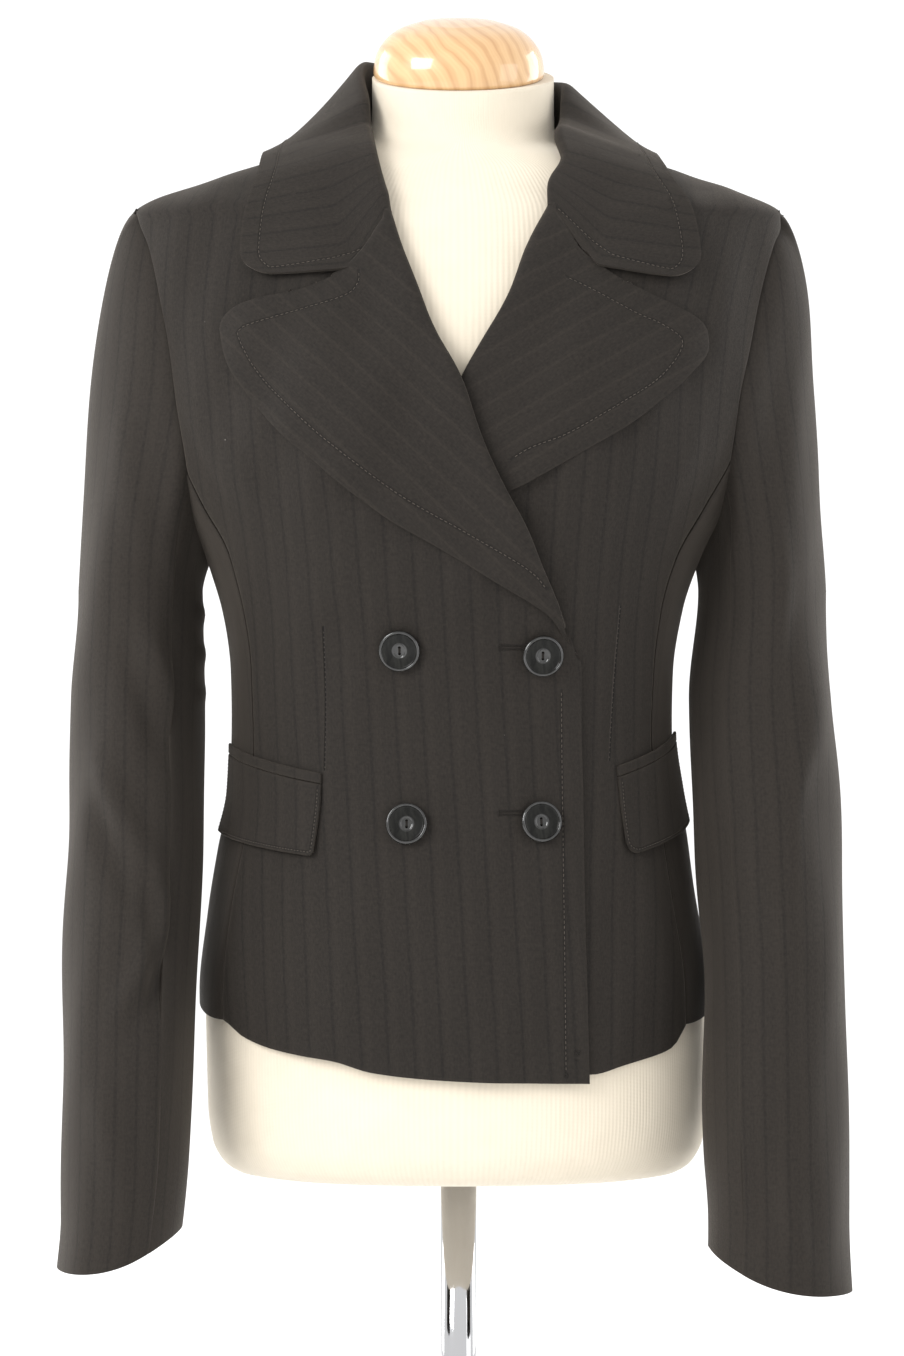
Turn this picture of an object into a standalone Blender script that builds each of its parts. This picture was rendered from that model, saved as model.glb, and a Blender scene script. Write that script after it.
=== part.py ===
"""A cropped double-breasted blazer, worn by a limbless dress form on a short pole and a round base.

Metres, +Z up. The wearer faces -Y, so the wearer's right is at -X. The origin is on the floor, under
the pole. Every sheet of cloth is an open surface given its thickness by Solidify. Its points come from
one body surface, moved out by as many layers as lie under it.
"""

import math

import bmesh
import bpy
import numpy as np
from mathutils import Vector

MM = 0.001
NAME = "blazer_on_dress_form"

CLOTH = 2.0 * MM
LAYER = 0.8 * MM
SEAM = 0.4 * MM
WELD = 0.01 * MM
ROLL = 2.0 * MM

# The body under the cloth: z, half width at the wearer's right and left, depth to the front and back, in mm.
RINGS = (
    (265, 149, 150, 110, 100),
    (320, 151, 151, 114, 104),
    (373, 152, 149, 114, 104),
    (421, 147, 142, 109, 98),
    (457, 141, 137, 103, 91),
    (493, 134, 131, 99, 85),
    (529, 133, 127, 97, 82),
    (565, 134, 128, 100, 83),
    (601, 139, 133, 107, 87),
    (631, 148, 143, 114, 91),
    (660, 164, 161, 119, 94),
    (695, 182, 181, 122, 97),
    (730, 190, 190, 120, 99),
    (770, 195, 195, 112, 98),
    (810, 198, 198, 97, 92),
    (833, 197, 197, 84, 82),
    (848, 168, 168, 73, 72),
    (864, 121, 122, 62, 62),
    (883, 62, 66, 53, 52),
    (905, 55, 62, 50, 50),
    (940, 54, 61, 49, 50),
)
ROUNDNESS = 2.3
BUST = {"x": 80 * MM, "z": 705 * MM, "wide": 48 * MM, "tall": 52 * MM, "height": 7 * MM}

# The wearer's right front, which laps over. Its edge and then the break line of its lapel: z, x in mm.
RIGHT_EDGE = (
    (327, 76),
    (409, 74),
    (489, 73),
    (536, 72),
    (562, 72),
    (576, 70),
    (590, 64),
    (605, 57),
    (628, 47),
    (647, 38),
    (667, 28),
    (690, 17),
    (728, 3),
    (771, -18),
    (806, -31),
    (825, -37),
)
# Its lapel's outline from the break point up to the tip and along to the notch: x, z in mm.
RIGHT_LAPEL = (
    (70, 576),
    (53, 598),
    (24, 614),
    (-10, 634),
    (-44, 654),
    (-79, 682),
    (-107, 707),
    (-129, 736),
    (-136, 758),
    (-135, 767),
    (-127, 774),
    (-114, 778),
    (-96, 782),
    (-77, 787),
    (-61, 794),
)
# The wearer's left front, which lies under: the same, with the low part of the break line hidden.
LEFT_EDGE = (
    (331, -70),
    (480, -69),
    (560, -67),
    (600, -62),
    (625, -52),
    (642, -41),
    (659, -32),
    (681, -21),
    (704, -10),
    (728, 1),
    (755, 15),
    (784, 31),
    (806, 40),
    (830, 51),
)
LEFT_LAPEL = (
    (-48, 632),
    (-30, 645),
    (-6, 654),
    (30, 667),
    (51, 678),
    (93, 702),
    (122, 724),
    (134, 736),
    (143, 747),
    (144, 756),
    (142, 763),
    (135, 769),
    (122, 776),
    (107, 783),
    (78, 798),
)
BREAK_START = {"right": 566 * MM, "left": 628 * MM}
ROLL_OPENS = {"right": 570 * MM, "left": 740 * MM}

# The hem of each front: x, z in mm.
RIGHT_HEM = (
    (-150, 370),
    (-143, 364),
    (-133, 358),
    (-126, 352),
    (-109, 346),
    (-93, 343),
    (-71, 340),
    (-50, 334),
    (-26, 331),
    (4, 329),
    (76, 327),
)
LEFT_HEM = (
    (-70, 331),
    (77, 332),
    (94, 336),
    (115, 341),
    (125, 345),
    (134, 357),
    (143, 365),
    (150, 370),
)
BACK_HEM = 376 * MM

# The armhole seam seen from the front: z, distance out from the middle at the wearer's right and left, in mm.
ARMHOLE = (
    (631, 148, 143),
    (645, 152, 149),
    (660, 155, 155),
    (693, 159, 160),
    (723, 164, 164),
    (757, 169, 172),
    (791, 176, 180),
    (816, 183, 187),
    (828, 188, 192),
    (838, 191, 192),
)
ARMHOLE_MIDDLE = 700 * MM
SIDE_SEAM = 62.0
BACK_SEAM = 180 - SIDE_SEAM
SHOULDER = 800 * MM
# A row ends on the ridge of the shoulder where it reaches this share of the width, and stops short of it.
RIDGE_SHARE = 0.985
RIDGE_GAP = 0.1
# The rows close up towards the shoulder from this share of their number on, over this share.
SHOULDER_ROWS, SHOULDER_EASE = 0.62, 0.22

# How the rows of a front climb: row, z at the side seam, armhole and shoulder, z at the front edge, in mm.
RIGHT_CLIMB = (
    (0, 364, 327),
    (14, 560, 560),
    (20, 668, 672),
    (24, 775, 722),
    (25, 803, 736),
    (26, 820, 748),
    (27, 830.5, 760),
    (28, 836, 772),
    (29, 838, 785),
    (35, 883, 825),
)
LEFT_CLIMB = (
    (0, 364, 331),
    (14, 560, 556),
    (20, 668, 672),
    (24, 775, 726),
    (25, 803, 740),
    (26, 820, 752),
    (27, 830.5, 764),
    (28, 836, 776),
    (29, 838, 789),
    (35, 883, 830),
)


def smooth(value):
    """0 below 0, 1 above 1 and an even ease between."""
    value = np.clip(value, 0.0, 1.0)
    return value * value * (3 - 2 * value)


def read(rows, at):
    """The later columns of a table at values of its first one, on a curve that doesn't overshoot."""
    rows = np.asarray(rows, float)
    at = np.asarray(at, float)
    key, columns = rows[:, 0], rows[:, 1:]
    step = np.diff(key)[:, None]
    slope = np.diff(columns, axis=0) / step
    tangent = np.zeros_like(columns)
    product = slope[1:] * slope[:-1]
    total = slope[1:] + slope[:-1]
    tangent[1:-1] = np.where(product > 0, 2 * product / np.where(total == 0, 1, total), 0)
    tangent[0], tangent[-1] = slope[0], slope[-1]
    low = np.clip(np.searchsorted(key, at, side="right") - 1, 0, len(key) - 2)
    t = np.clip((at - key[low]) / step[low, 0], 0, 1)[..., None]
    width = step[low]
    return (
        columns[low] * (1 + 2 * t) * (1 - t) ** 2
        + columns[low + 1] * t * t * (3 - 2 * t)
        + tangent[low] * width * t * (1 - t) ** 2
        - tangent[low + 1] * width * t * t * (1 - t)
    )


def along(points, share):
    """Points at shares of the length of a smooth curve through the given ones."""
    points = np.asarray(points, float)
    padded = np.vstack([2 * points[0] - points[1], points, 2 * points[-1] - points[-2]])
    fine = []
    for before, start, end, after in zip(padded, padded[1:], padded[2:], padded[3:]):
        t = np.linspace(0, 1, 12, endpoint=False)[:, None]
        fine.append(
            0.5
            * (
                2 * start
                + (end - before) * t
                + (2 * before - 5 * start + 4 * end - after) * t**2
                + (3 * start - before - 3 * end + after) * t**3
            )
        )
    fine = np.vstack(fine + [points[-1:]])
    length = np.r_[0, np.cumsum(np.linalg.norm(np.diff(fine, axis=0), axis=1))]
    at = np.asarray(share) * length[-1]
    return np.stack([np.interp(at, length, column) for column in fine.T], axis=-1)


def ring(x, y, z):
    """Half width and depth of the body at a height, on the side that x and y are on."""
    right, left, front, back = np.moveaxis(read(RINGS, np.asarray(z) / MM) * MM, -1, 0)
    return np.where(x < 0, right, left), np.where(y < 0, front, back)


def outward(x, y, z):
    """The unit normal of the body surface through a point on it."""
    step = 1.5 * MM
    n = ROUNDNESS
    wide, deep = ring(x, y, z)
    wide_above, deep_above = ring(x, y, z + step)
    wide_below, deep_below = ring(x, y, z - step)
    slope_x = np.sign(x) * np.abs(x / wide) ** (n - 1) / wide
    slope_y = np.sign(y) * np.abs(y / deep) ** (n - 1) / deep
    slope_z = -(
        np.abs(x / wide) ** n * (wide_above - wide_below) / wide
        + np.abs(y / deep) ** n * (deep_above - deep_below) / deep
    ) / (2 * step)
    normal = np.stack([slope_x, slope_y, slope_z], axis=-1)
    return normal / np.linalg.norm(normal, axis=-1, keepdims=True)


def bust(x, y, z):
    """How far the cloth stands out over the bust."""
    across = (np.abs(x) - BUST["x"]) / BUST["wide"]
    up = (z - BUST["z"]) / BUST["tall"]
    return np.where(y < 0, BUST["height"] * np.exp(-(across**2) - up**2), 0)


def lifted(x, y, z, lift):
    """A point of the body surface, moved out."""
    out = (lift + bust(x, y, z))[..., None] * outward(x, y, z)
    return np.stack([x, y, z], axis=-1) + out


def at_angle(degrees, z, lift):
    """The surface at an angle round the body, from 0 at the front, and a height."""
    degrees, z, lift = np.broadcast_arrays(np.asarray(degrees, float), z, lift)
    sine, cosine = np.sin(np.radians(degrees)), np.cos(np.radians(degrees))
    wide, deep = ring(sine, -cosine, z)
    x = wide * np.sign(sine) * np.abs(sine) ** (2 / ROUNDNESS)
    y = -deep * np.sign(cosine) * np.abs(cosine) ** (2 / ROUNDNESS)
    return lifted(x, y, z, lift)


def angle_of(x, z):
    """The angle round the body, from 0 to 90, of a place seen from the front."""
    wide, _ = ring(np.asarray(x), -1.0, z)
    return np.degrees(np.arcsin(np.clip(np.abs(x) / wide, 0, 1) ** (ROUNDNESS / 2)))


def from_front(x, z, lift):
    """The surface where it is seen from the front at x and z, moved out without leaving that place."""
    x, z, lift = np.broadcast_arrays(np.asarray(x, float), z, lift)
    base_x, base_z = x, z
    for _ in range(4):
        wide, deep = ring(base_x, -1.0, base_z)
        share = np.clip(np.abs(base_x) / wide, 0, 1)
        y = -deep * (1 - share**ROUNDNESS) ** (1 / ROUNDNESS)
        point = lifted(base_x, y, base_z, lift)
        base_x = base_x + 0.8 * (x - point[..., 0])
        base_z = base_z + 0.8 * (z - point[..., 2])
    return point


SIDES = {
    "right": {
        "sign": -1,
        "column": 0,
        "edge": RIGHT_EDGE,
        "lapel": RIGHT_LAPEL,
        "hem": RIGHT_HEM,
        "climb": RIGHT_CLIMB,
    },
    "left": {
        "sign": 1,
        "column": 1,
        "edge": LEFT_EDGE,
        "lapel": LEFT_LAPEL,
        "hem": LEFT_HEM,
        "climb": LEFT_CLIMB,
    },
}
FRONT_ROWS, FRONT_COLUMNS = 36, 12
ROLL_COLUMNS, LAPEL_COLUMNS = 3, 7
NECK_DIP = 6.5 * MM
LEAF_EASE = 35 * MM
# The hem's curve fades out over this share of a front's rows.
HEM_FADE = 0.35
# Where the under front and the hidden end of its lapel lift the top front: start in x, foot and top in z,
# and the length over which each begins or ends, in mm.
UNDER_FRONT = {"start": -112, "start_ease": 30, "top": 735, "top_ease": 40}
UNDER_LAPEL = {"start": -92, "start_ease": 26, "foot": 585, "foot_ease": 24, "top": 735, "top_ease": 30}
# A lapel's roll is this share of its full radius where it is pressed flat, and opens over this height.
FLAT_ROLL = 0.25
ROLL_EASE = 60 * MM


def lift_over(x, z):
    """How far the top front is lifted by the under front and by the hidden end of its lapel."""
    x, z = x / MM, z / MM
    layers = 0
    for under in (UNDER_FRONT, UNDER_LAPEL):
        layer = smooth((x - under["start"]) / under["start_ease"])
        layer = layer * (1 - smooth((z - under["top"]) / under["top_ease"]))
        if "foot" in under:
            layer = layer * smooth((z - under["foot"]) / under["foot_ease"])
        layers = layers + layer
    return (CLOTH + LAYER) * layers


def front_height(side, x, z):
    """The lift of a front's outer face."""
    return CLOTH + (lift_over(x, z) if side == "right" else 0 * x)


def roll_radius(side, z):
    """The inner radius of a lapel's roll, which opens from a flat fold."""
    free = smooth((z - ROLL_OPENS[side]) / ROLL_EASE)
    return ROLL * (FLAT_ROLL + (1 - FLAT_ROLL) * free)


def leaf_gap(distance, radius):
    """The gap under a lapel or collar at a distance from its roll."""
    return LAYER + np.maximum(2 * radius - LAYER, 0) * (1 - smooth(distance / LEAF_EASE))


def seam_line(side, z):
    """Distance out from the middle of a front's outer boundary: side seam, armhole, then shoulder."""
    shape = SIDES[side]
    wide, _ = ring(shape["sign"] * 1.0, -1.0, z)
    seam = wide * math.sin(math.radians(SIDE_SEAM)) ** (2 / ROUNDNESS)
    arm = read(ARMHOLE, z / MM)[..., shape["column"]] * MM
    above = np.where(z > ARMHOLE[-3][0] * MM, np.minimum(arm, wide), arm)
    above = np.where(z > ARMHOLE[-1][0] * MM, wide, above)
    below = np.minimum(seam, np.where(arm > wide, seam, arm))
    return np.where(z < ARMHOLE_MIDDLE, below, above)


def front_points(side):
    """Rows and columns of a front's outer face, with its lapel's underside; missing points are NaN."""
    shape = SIDES[side]
    sign = shape["sign"]
    climb = np.linspace(0, 1, FRONT_ROWS)
    z_side, z_edge = np.moveaxis(read(shape["climb"], np.arange(FRONT_ROWS)) * MM, -1, 0)
    x_edge = read(shape["edge"], z_edge / MM)[:, 0] * MM
    fold = (z_edge > BREAK_START[side]).astype(float)
    rise = np.stack([np.gradient(x_edge), np.gradient(z_edge)], axis=-1)
    rise /= np.linalg.norm(rise, axis=-1, keepdims=True)
    away = -sign * np.stack([rise[:, 1], -rise[:, 0]], axis=-1)
    inset = (roll_radius(side, z_edge) + CLOTH) * fold
    x_edge = x_edge - away[:, 0] * inset
    z_edge = z_edge - away[:, 1] * inset

    spread = 1 + smooth((climb - SHOULDER_ROWS) / SHOULDER_EASE)
    share = np.linspace(0, 1, FRONT_COLUMNS)[None, :] ** spread[:, None]
    x_side = sign * seam_line(side, z_side)
    x = x_side[:, None] + (x_edge - x_side)[:, None] * share
    z = z_side[:, None] + (z_edge - z_side)[:, None] * share
    hem = read(shape["hem"], x / MM)[..., 0] * MM
    z = z + smooth(1 - climb / HEM_FADE)[:, None] * (hem - z[0])
    z[-1] -= NECK_DIP * np.sin(math.pi * share[-1])
    body = from_front(x, z, front_height(side, x, z))
    wide, _ = ring(sign * 1.0, -1.0, z_side)
    on_ridge = (np.abs(x_side) > RIDGE_SHARE * wide) & (z_side > SHOULDER)
    ridge = at_angle(sign * (90 - RIDGE_GAP), z_side, front_height(side, x_side, z_side))
    body[on_ridge, 0] = ridge[on_ridge]

    points = np.full((FRONT_ROWS, FRONT_COLUMNS + ROLL_COLUMNS + LAPEL_COLUMNS, 3), np.nan)
    points[:, :FRONT_COLUMNS] = body
    lap = np.flatnonzero(fold)
    length = np.r_[0, np.cumsum(np.hypot(np.diff(x_edge[lap]), np.diff(z_edge[lap])))]
    tips = along(shape["lapel"], length / length[-1]) * MM
    for row, (tip_x, tip_z) in zip(lap, tips):
        points[row, FRONT_COLUMNS:] = lapel_row(
            side, body[row, -1], (x_edge[row], z_edge[row]), away[row], (tip_x, tip_z)
        )
    return points


def lapel_row(side, edge, place, away, tip):
    """One row of points round the roll and out to the lapel's edge."""
    radius = roll_radius(side, place[1])
    normal = outward(edge[0], edge[1], edge[2])
    step = np.array(place) + away * MM
    beyond = from_front(step[0], step[1], front_height(side, *place))
    out = beyond - edge
    out -= normal * out.dot(normal)
    out /= np.linalg.norm(out)
    turn = math.pi * np.arange(1, ROLL_COLUMNS + 1)[:, None] / ROLL_COLUMNS
    bend = edge + normal * radius + radius * (out * np.sin(turn) - normal * np.cos(turn))
    width = math.hypot(tip[0] - place[0], tip[1] - place[1])
    share = np.arange(1, LAPEL_COLUMNS + 1) / LAPEL_COLUMNS
    x = place[0] + (tip[0] - place[0]) * share
    z = place[1] + (tip[1] - place[1]) * share
    leaf = from_front(x, z, front_height(side, x, z) + leaf_gap(share * width, radius))
    return np.vstack([bend, leaf])


def armhole_angle(side, z):
    """The angle round the body at which the armhole seam passes a height, in front."""
    shape = SIDES[side]
    x = shape["sign"] * read(ARMHOLE, z / MM)[..., shape["column"]] * MM
    return angle_of(x, z)


def armhole_floor(side, degrees):
    """The height of the low part of the armhole seam at an angle round the body."""
    z = np.linspace(ARMHOLE[0][0] * MM, ARMHOLE_MIDDLE, 60)
    angle = armhole_angle(side, z)
    low = np.argmin(angle)
    return np.interp(np.minimum(degrees, 180 - degrees), angle[low::-1], z[low::-1])


SIDE_ROWS, SIDE_COLUMNS = 18, 7
SIDE_FOOT = 360 * MM
SEAM_ANGLE = 0.5
MIDDLE_ANGLE = 0.06


def side_points(side):
    shape = SIDES[side]
    angle = np.linspace(SIDE_SEAM + SEAM_ANGLE, BACK_SEAM - SEAM_ANGLE, SIDE_COLUMNS)
    seam_x = shape["sign"] * seam_line(side, np.array(SIDE_FOOT))
    front_hem = float(read(shape["hem"], seam_x / MM)[0]) * MM
    turn = smooth((angle - SIDE_SEAM) / (BACK_SEAM - SIDE_SEAM))
    low = front_hem + (BACK_HEM - front_hem) * turn
    high = armhole_floor(side, angle)
    rise = np.linspace(0, 1, SIDE_ROWS)[:, None]
    z = low + (high - low) * rise
    return at_angle(shape["sign"] * angle + 0 * z, z, CLOTH)


BACK_ROWS, BACK_COLUMNS = 26, 9
# How the rows of a back climb: row, z at its side seam, armhole and shoulder, z at the middle, in mm.
BACK_CLIMB = (
    (0, 376, 376),
    (8, 560, 560),
    (13, 668, 680),
    (16, 775, 750),
    (17, 803, 770),
    (18, 820, 785),
    (19, 830.5, 797),
    (20, 836, 808),
    (21, 838, 819),
    (25, 883, 884),
)


def back_points(side):
    shape = SIDES[side]
    climb = np.linspace(0, 1, BACK_ROWS)
    z_side, z_middle = np.moveaxis(read(BACK_CLIMB, np.arange(BACK_ROWS)) * MM, -1, 0)
    wide, _ = ring(shape["sign"] * 1.0, 1.0, z_side)
    x_side = shape["sign"] * seam_line(side, z_side)
    on_ridge = (np.abs(x_side) > RIDGE_SHARE * wide) & (z_side > SHOULDER)
    outer = 180 - angle_of(x_side, z_side)
    outer = np.where(on_ridge, 90 + RIDGE_GAP, outer)
    high = smooth((climb - SHOULDER_ROWS) / SHOULDER_EASE)[:, None]
    share = np.linspace(0, 1, BACK_COLUMNS)[None, :] ** (1 + 0.5 * high)
    angle = outer[:, None] + (180 - MIDDLE_ANGLE - outer)[:, None] * share
    z = z_side[:, None] + (z_middle - z_side)[:, None] * share ** (1 + high)
    return at_angle(shape["sign"] * angle, z, CLOTH)


# The sleeves below the armhole: z, inner edge, outer edge, how far forward the middle is, half depth, in mm.
RIGHT_SLEEVE = (
    (212, 164, 233, 80, 44),
    (247, 159, 230, 77, 46),
    (283, 156, 230, 73, 48),
    (371, 153, 231, 60, 52),
    (457, 150, 230, 38, 54),
    (547, 151, 230, 11, 56),
    (612, 152, 227, 2, 58),
    (660, 152, 227, 2, 58),
)
LEFT_SLEEVE = (
    (200, 144, 230, 84, 44),
    (247, 145, 228, 79, 46),
    (283, 144, 228, 74, 48),
    (371, 144, 227, 61, 52),
    (457, 141, 227, 40, 54),
    (547, 138, 224, 11, 56),
    (612, 145, 220, 2, 58),
    (660, 145, 220, 2, 58),
)
CUFF = {"right": {"inner": 241, "outer": 218}, "left": {"inner": 230, "outer": 206}}
CUFF_LEVEL = 2.6
SLEEVE_TOP = 612 * MM
CAP_ROWS, SLEEVE_ROWS = 9, 11
# Each sleeve's two pieces: name, turns of its two seams, columns.
SLEEVE_ARCS = (("upper", (-40.0, 125.0), 11), ("under", (125.0, 320.0), 12))
SEAM_TURN = 0.8
# The fullness of a sleeve's head, in mm: how far it leaves the seam outwards at the armpit and how much
# more at the top, forwards and back, and down at the top and how much more halfway; then how high over
# the first straight row it starts to turn down, at the armpit and how much more at the top.
HEAD_OUT, HEAD_OUT_MORE = 2, 26
HEAD_FORWARD = 4
HEAD_DOWN, HEAD_DOWN_MORE = 4, 14
HEAD_TURN, HEAD_TURN_MORE, HEAD_TURN_POWER = 4, 142, 1.6
# The seam's gap in units of SEAM: all round, and how much more at the shoulder.
HEAD_GAP, HEAD_GAP_MORE, HEAD_GAP_POWER = 2, 3, 6


def armhole_loop(side, turn):
    """Points of the armhole seam: turn is 0 at the shoulder, 90 in front and 180 in the armpit."""
    shape = SIDES[side]
    tip = ARMHOLE[-1][0] * MM
    low = ARMHOLE[0][0] * MM
    turn = np.radians(turn)
    z = (tip + low) / 2 + (tip - low) / 2 * np.cos(turn)
    front = np.sin(turn) > 0
    x = shape["sign"] * read(ARMHOLE, z / MM)[..., shape["column"]] * MM
    wide, deep = ring(x, np.where(front, -1.0, 1.0), z)
    share = np.clip(np.abs(x) / wide, 0, 1)
    y = np.where(front, -1, 1) * deep * (1 - share**ROUNDNESS) ** (1 / ROUNDNESS)
    point = lifted(x, y, z, CLOTH + 0 * z)
    near_top = np.maximum(np.cos(turn), 0) ** HEAD_GAP_POWER
    point[..., 0] += shape["sign"] * (HEAD_GAP + HEAD_GAP_MORE * near_top) * SEAM
    return point


def sleeve_ring(side, turn, z):
    shape = SIDES[side]
    table = RIGHT_SLEEVE if side == "right" else LEFT_SLEEVE
    inner, outer, forward, deep = np.moveaxis(read(table, z / MM) * MM, -1, 0)
    turn = np.radians(turn)
    x = shape["sign"] * ((inner + outer) / 2 + (outer - inner) / 2 * np.cos(turn))
    return np.stack([x, -forward - deep * np.sin(turn), z], axis=-1)


def sleeve_points(side, start, end, columns):
    """Rows of an arc of the sleeve, from the armhole down to the cuff."""
    shape = SIDES[side]
    turn = np.linspace(start, end, columns)
    cosine = np.cos(np.radians(turn))
    top = armhole_loop(side, turn)
    ring_below = sleeve_ring(side, turn, np.full(columns, SLEEVE_TOP))
    high = (1 + cosine) / 2
    leave = np.stack(
        [
            shape["sign"] * (HEAD_OUT + HEAD_OUT_MORE * high) * MM,
            -HEAD_FORWARD * np.sin(np.radians(turn)) * MM,
            -(HEAD_DOWN + HEAD_DOWN_MORE * (1 - cosine**2)) * MM,
        ],
        axis=-1,
    )
    turn_down = (HEAD_TURN + HEAD_TURN_MORE * high**HEAD_TURN_POWER) * MM
    arrive = np.stack([0 * high, 0 * high, turn_down], axis=-1)
    rows = []
    for t in np.linspace(0, 1, CAP_ROWS):
        rows.append(
            top * (1 - t) ** 3
            + (top + leave) * 3 * t * (1 - t) ** 2
            + (ring_below + arrive) * 3 * t * t * (1 - t)
            + ring_below * t**3
        )
    cuff = CUFF[side]
    hem = (cuff["outer"] + (cuff["inner"] - cuff["outer"]) * (1 - high) ** CUFF_LEVEL) * MM
    for t in np.linspace(0, 1, SLEEVE_ROWS)[1:]:
        rows.append(sleeve_ring(side, turn, SLEEVE_TOP + (hem - SLEEVE_TOP) * t))
    return np.array(rows)


# The collar, from the wearer's right round the back to the left: share of the way, angle, z in mm.
COLLAR_ROLL = (
    (0.00, -9.0, 827.3),
    (0.06, -12.0, 844),
    (0.12, -20.6, 863),
    (0.18, -54.0, 883),
    (0.22, -67.0, 901),
    (0.27, -90.0, 919),
    (0.32, -112.0, 929),
    (0.38, -135.0, 930),
    (0.50, -180.0, 926),
    (0.62, -225.0, 920),
    (0.73, -270.0, 912),
    (0.77, -281.0, 903),
    (0.81, -290.0, 890),
    (0.845, -314.0, 876),
    (0.88, -334.0, 861),
    (0.94, -343.8, 845),
    (1.00, -346.3, 831.5),
)
COLLAR_FOOT = (
    (0.00, -9.2, 825.5),
    (0.06, -12.0, 841),
    (0.12, -18.5, 858),
    (0.18, -37.0, 876),
    (0.22, -60.0, 883),
    (0.27, -90.0, 886),
    (0.38, -135.0, 887),
    (0.50, -180.0, 888),
    (0.62, -225.0, 887),
    (0.73, -270.0, 886),
    (0.77, -297.0, 883),
    (0.81, -320.0, 876.5),
    (0.845, -328.5, 871.5),
    (0.88, -338.0, 861),
    (0.94, -344.8, 843),
    (1.00, -346.8, 830.3),
)
COLLAR_EDGE = (
    (0.00, -30.5, 797),
    (0.03, -34.4, 807),
    (0.08, -35.9, 829),
    (0.14, -44.0, 850),
    (0.20, -66.0, 864),
    (0.27, -98.0, 868),
    (0.38, -140.0, 862),
    (0.50, -180.0, 858),
    (0.62, -220.0, 861),
    (0.73, -262.0, 866),
    (0.80, -294.0, 863),
    (0.86, -314.0, 850),
    (0.92, -319.5, 827),
    (0.97, -320.5, 806),
    (1.00, -324.5, 793),
)
# The collar's two ends, from the roll down the gorge seam to the notch and on to the corner: x, z in mm.
RIGHT_COLLAR_END = ((-41, 828), (-51, 813.5), (-62, 799), (-75, 794), (-90, 793), (-113, 797))
LEFT_COLLAR_END = ((54.5, 832.5), (67, 817), (78.5, 803), (89, 796), (101, 793), (126, 793))
COLLAR_ROWS, STAND_COLUMNS, LEAF_COLUMNS = 39, 2, 6
COLLAR_ROLL_RADIUS = 2.2 * MM
COLLAR_STANDS_OFF = 3.5 * MM
END_FADE = 0.13
# Past the gorge seam, at this distance from the roll, a collar's end starts to stand off, over this length.
GORGE, NOTCH_EASE = 34 * MM, 20 * MM
# The leaf lies on the cloth up to this height, and eases off it over this length.
NECK_FREE, NECK_FREE_EASE = 900 * MM, 30 * MM
LEAF_ROOM = 2 * MM
# A curve's handles, as a share of the roll's radius, for a half turn.
ROLL_HANDLE = 1.33


def collar_line(table, share, lift):
    """A smooth line round the neck through a table's places on the body surface."""
    places = np.array([at_angle(angle, z * MM, lift) for _, angle, z in table])
    keys = np.array([[row[0]] for row in table])
    return read(np.hstack([keys, places]), share)


def above_body(point, least):
    """A point, pushed out to stand at least this far off the cloth's body surface."""
    wide, deep = ring(point[..., 0], point[..., 1], point[..., 2])
    level = np.abs(point[..., 0] / wide) ** ROUNDNESS + np.abs(point[..., 1] / deep) ** ROUNDNESS
    level = level ** (1 / ROUNDNESS)
    x, y = point[..., 0] / level, point[..., 1] / level
    base = np.stack([x, y, point[..., 2]], axis=-1)
    normal = outward(x, y, point[..., 2])
    height = np.sum((point - base) * normal, axis=-1) - bust(x, y, point[..., 2])
    ease = 1.5 * MM
    short = least - height
    push = 0.5 * (short + np.sqrt(short**2 + ease**2))
    push = push * smooth((NECK_FREE - point[..., 2]) / NECK_FREE_EASE)
    return point + push[..., None] * normal


def collar_end(outline, share):
    """The collar's end edge: along the gorge as high as the lapel, then standing a little off."""
    place = along(outline, share) * MM
    x, z = place[:, 0], place[:, 1]
    distance = np.hypot(x - x[0], z - z[0])
    past_notch = smooth((distance - GORGE) / NOTCH_EASE)
    lift = CLOTH + leaf_gap(distance, ROLL) + COLLAR_STANDS_OFF * past_notch
    return from_front(x, z, lift)


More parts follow.
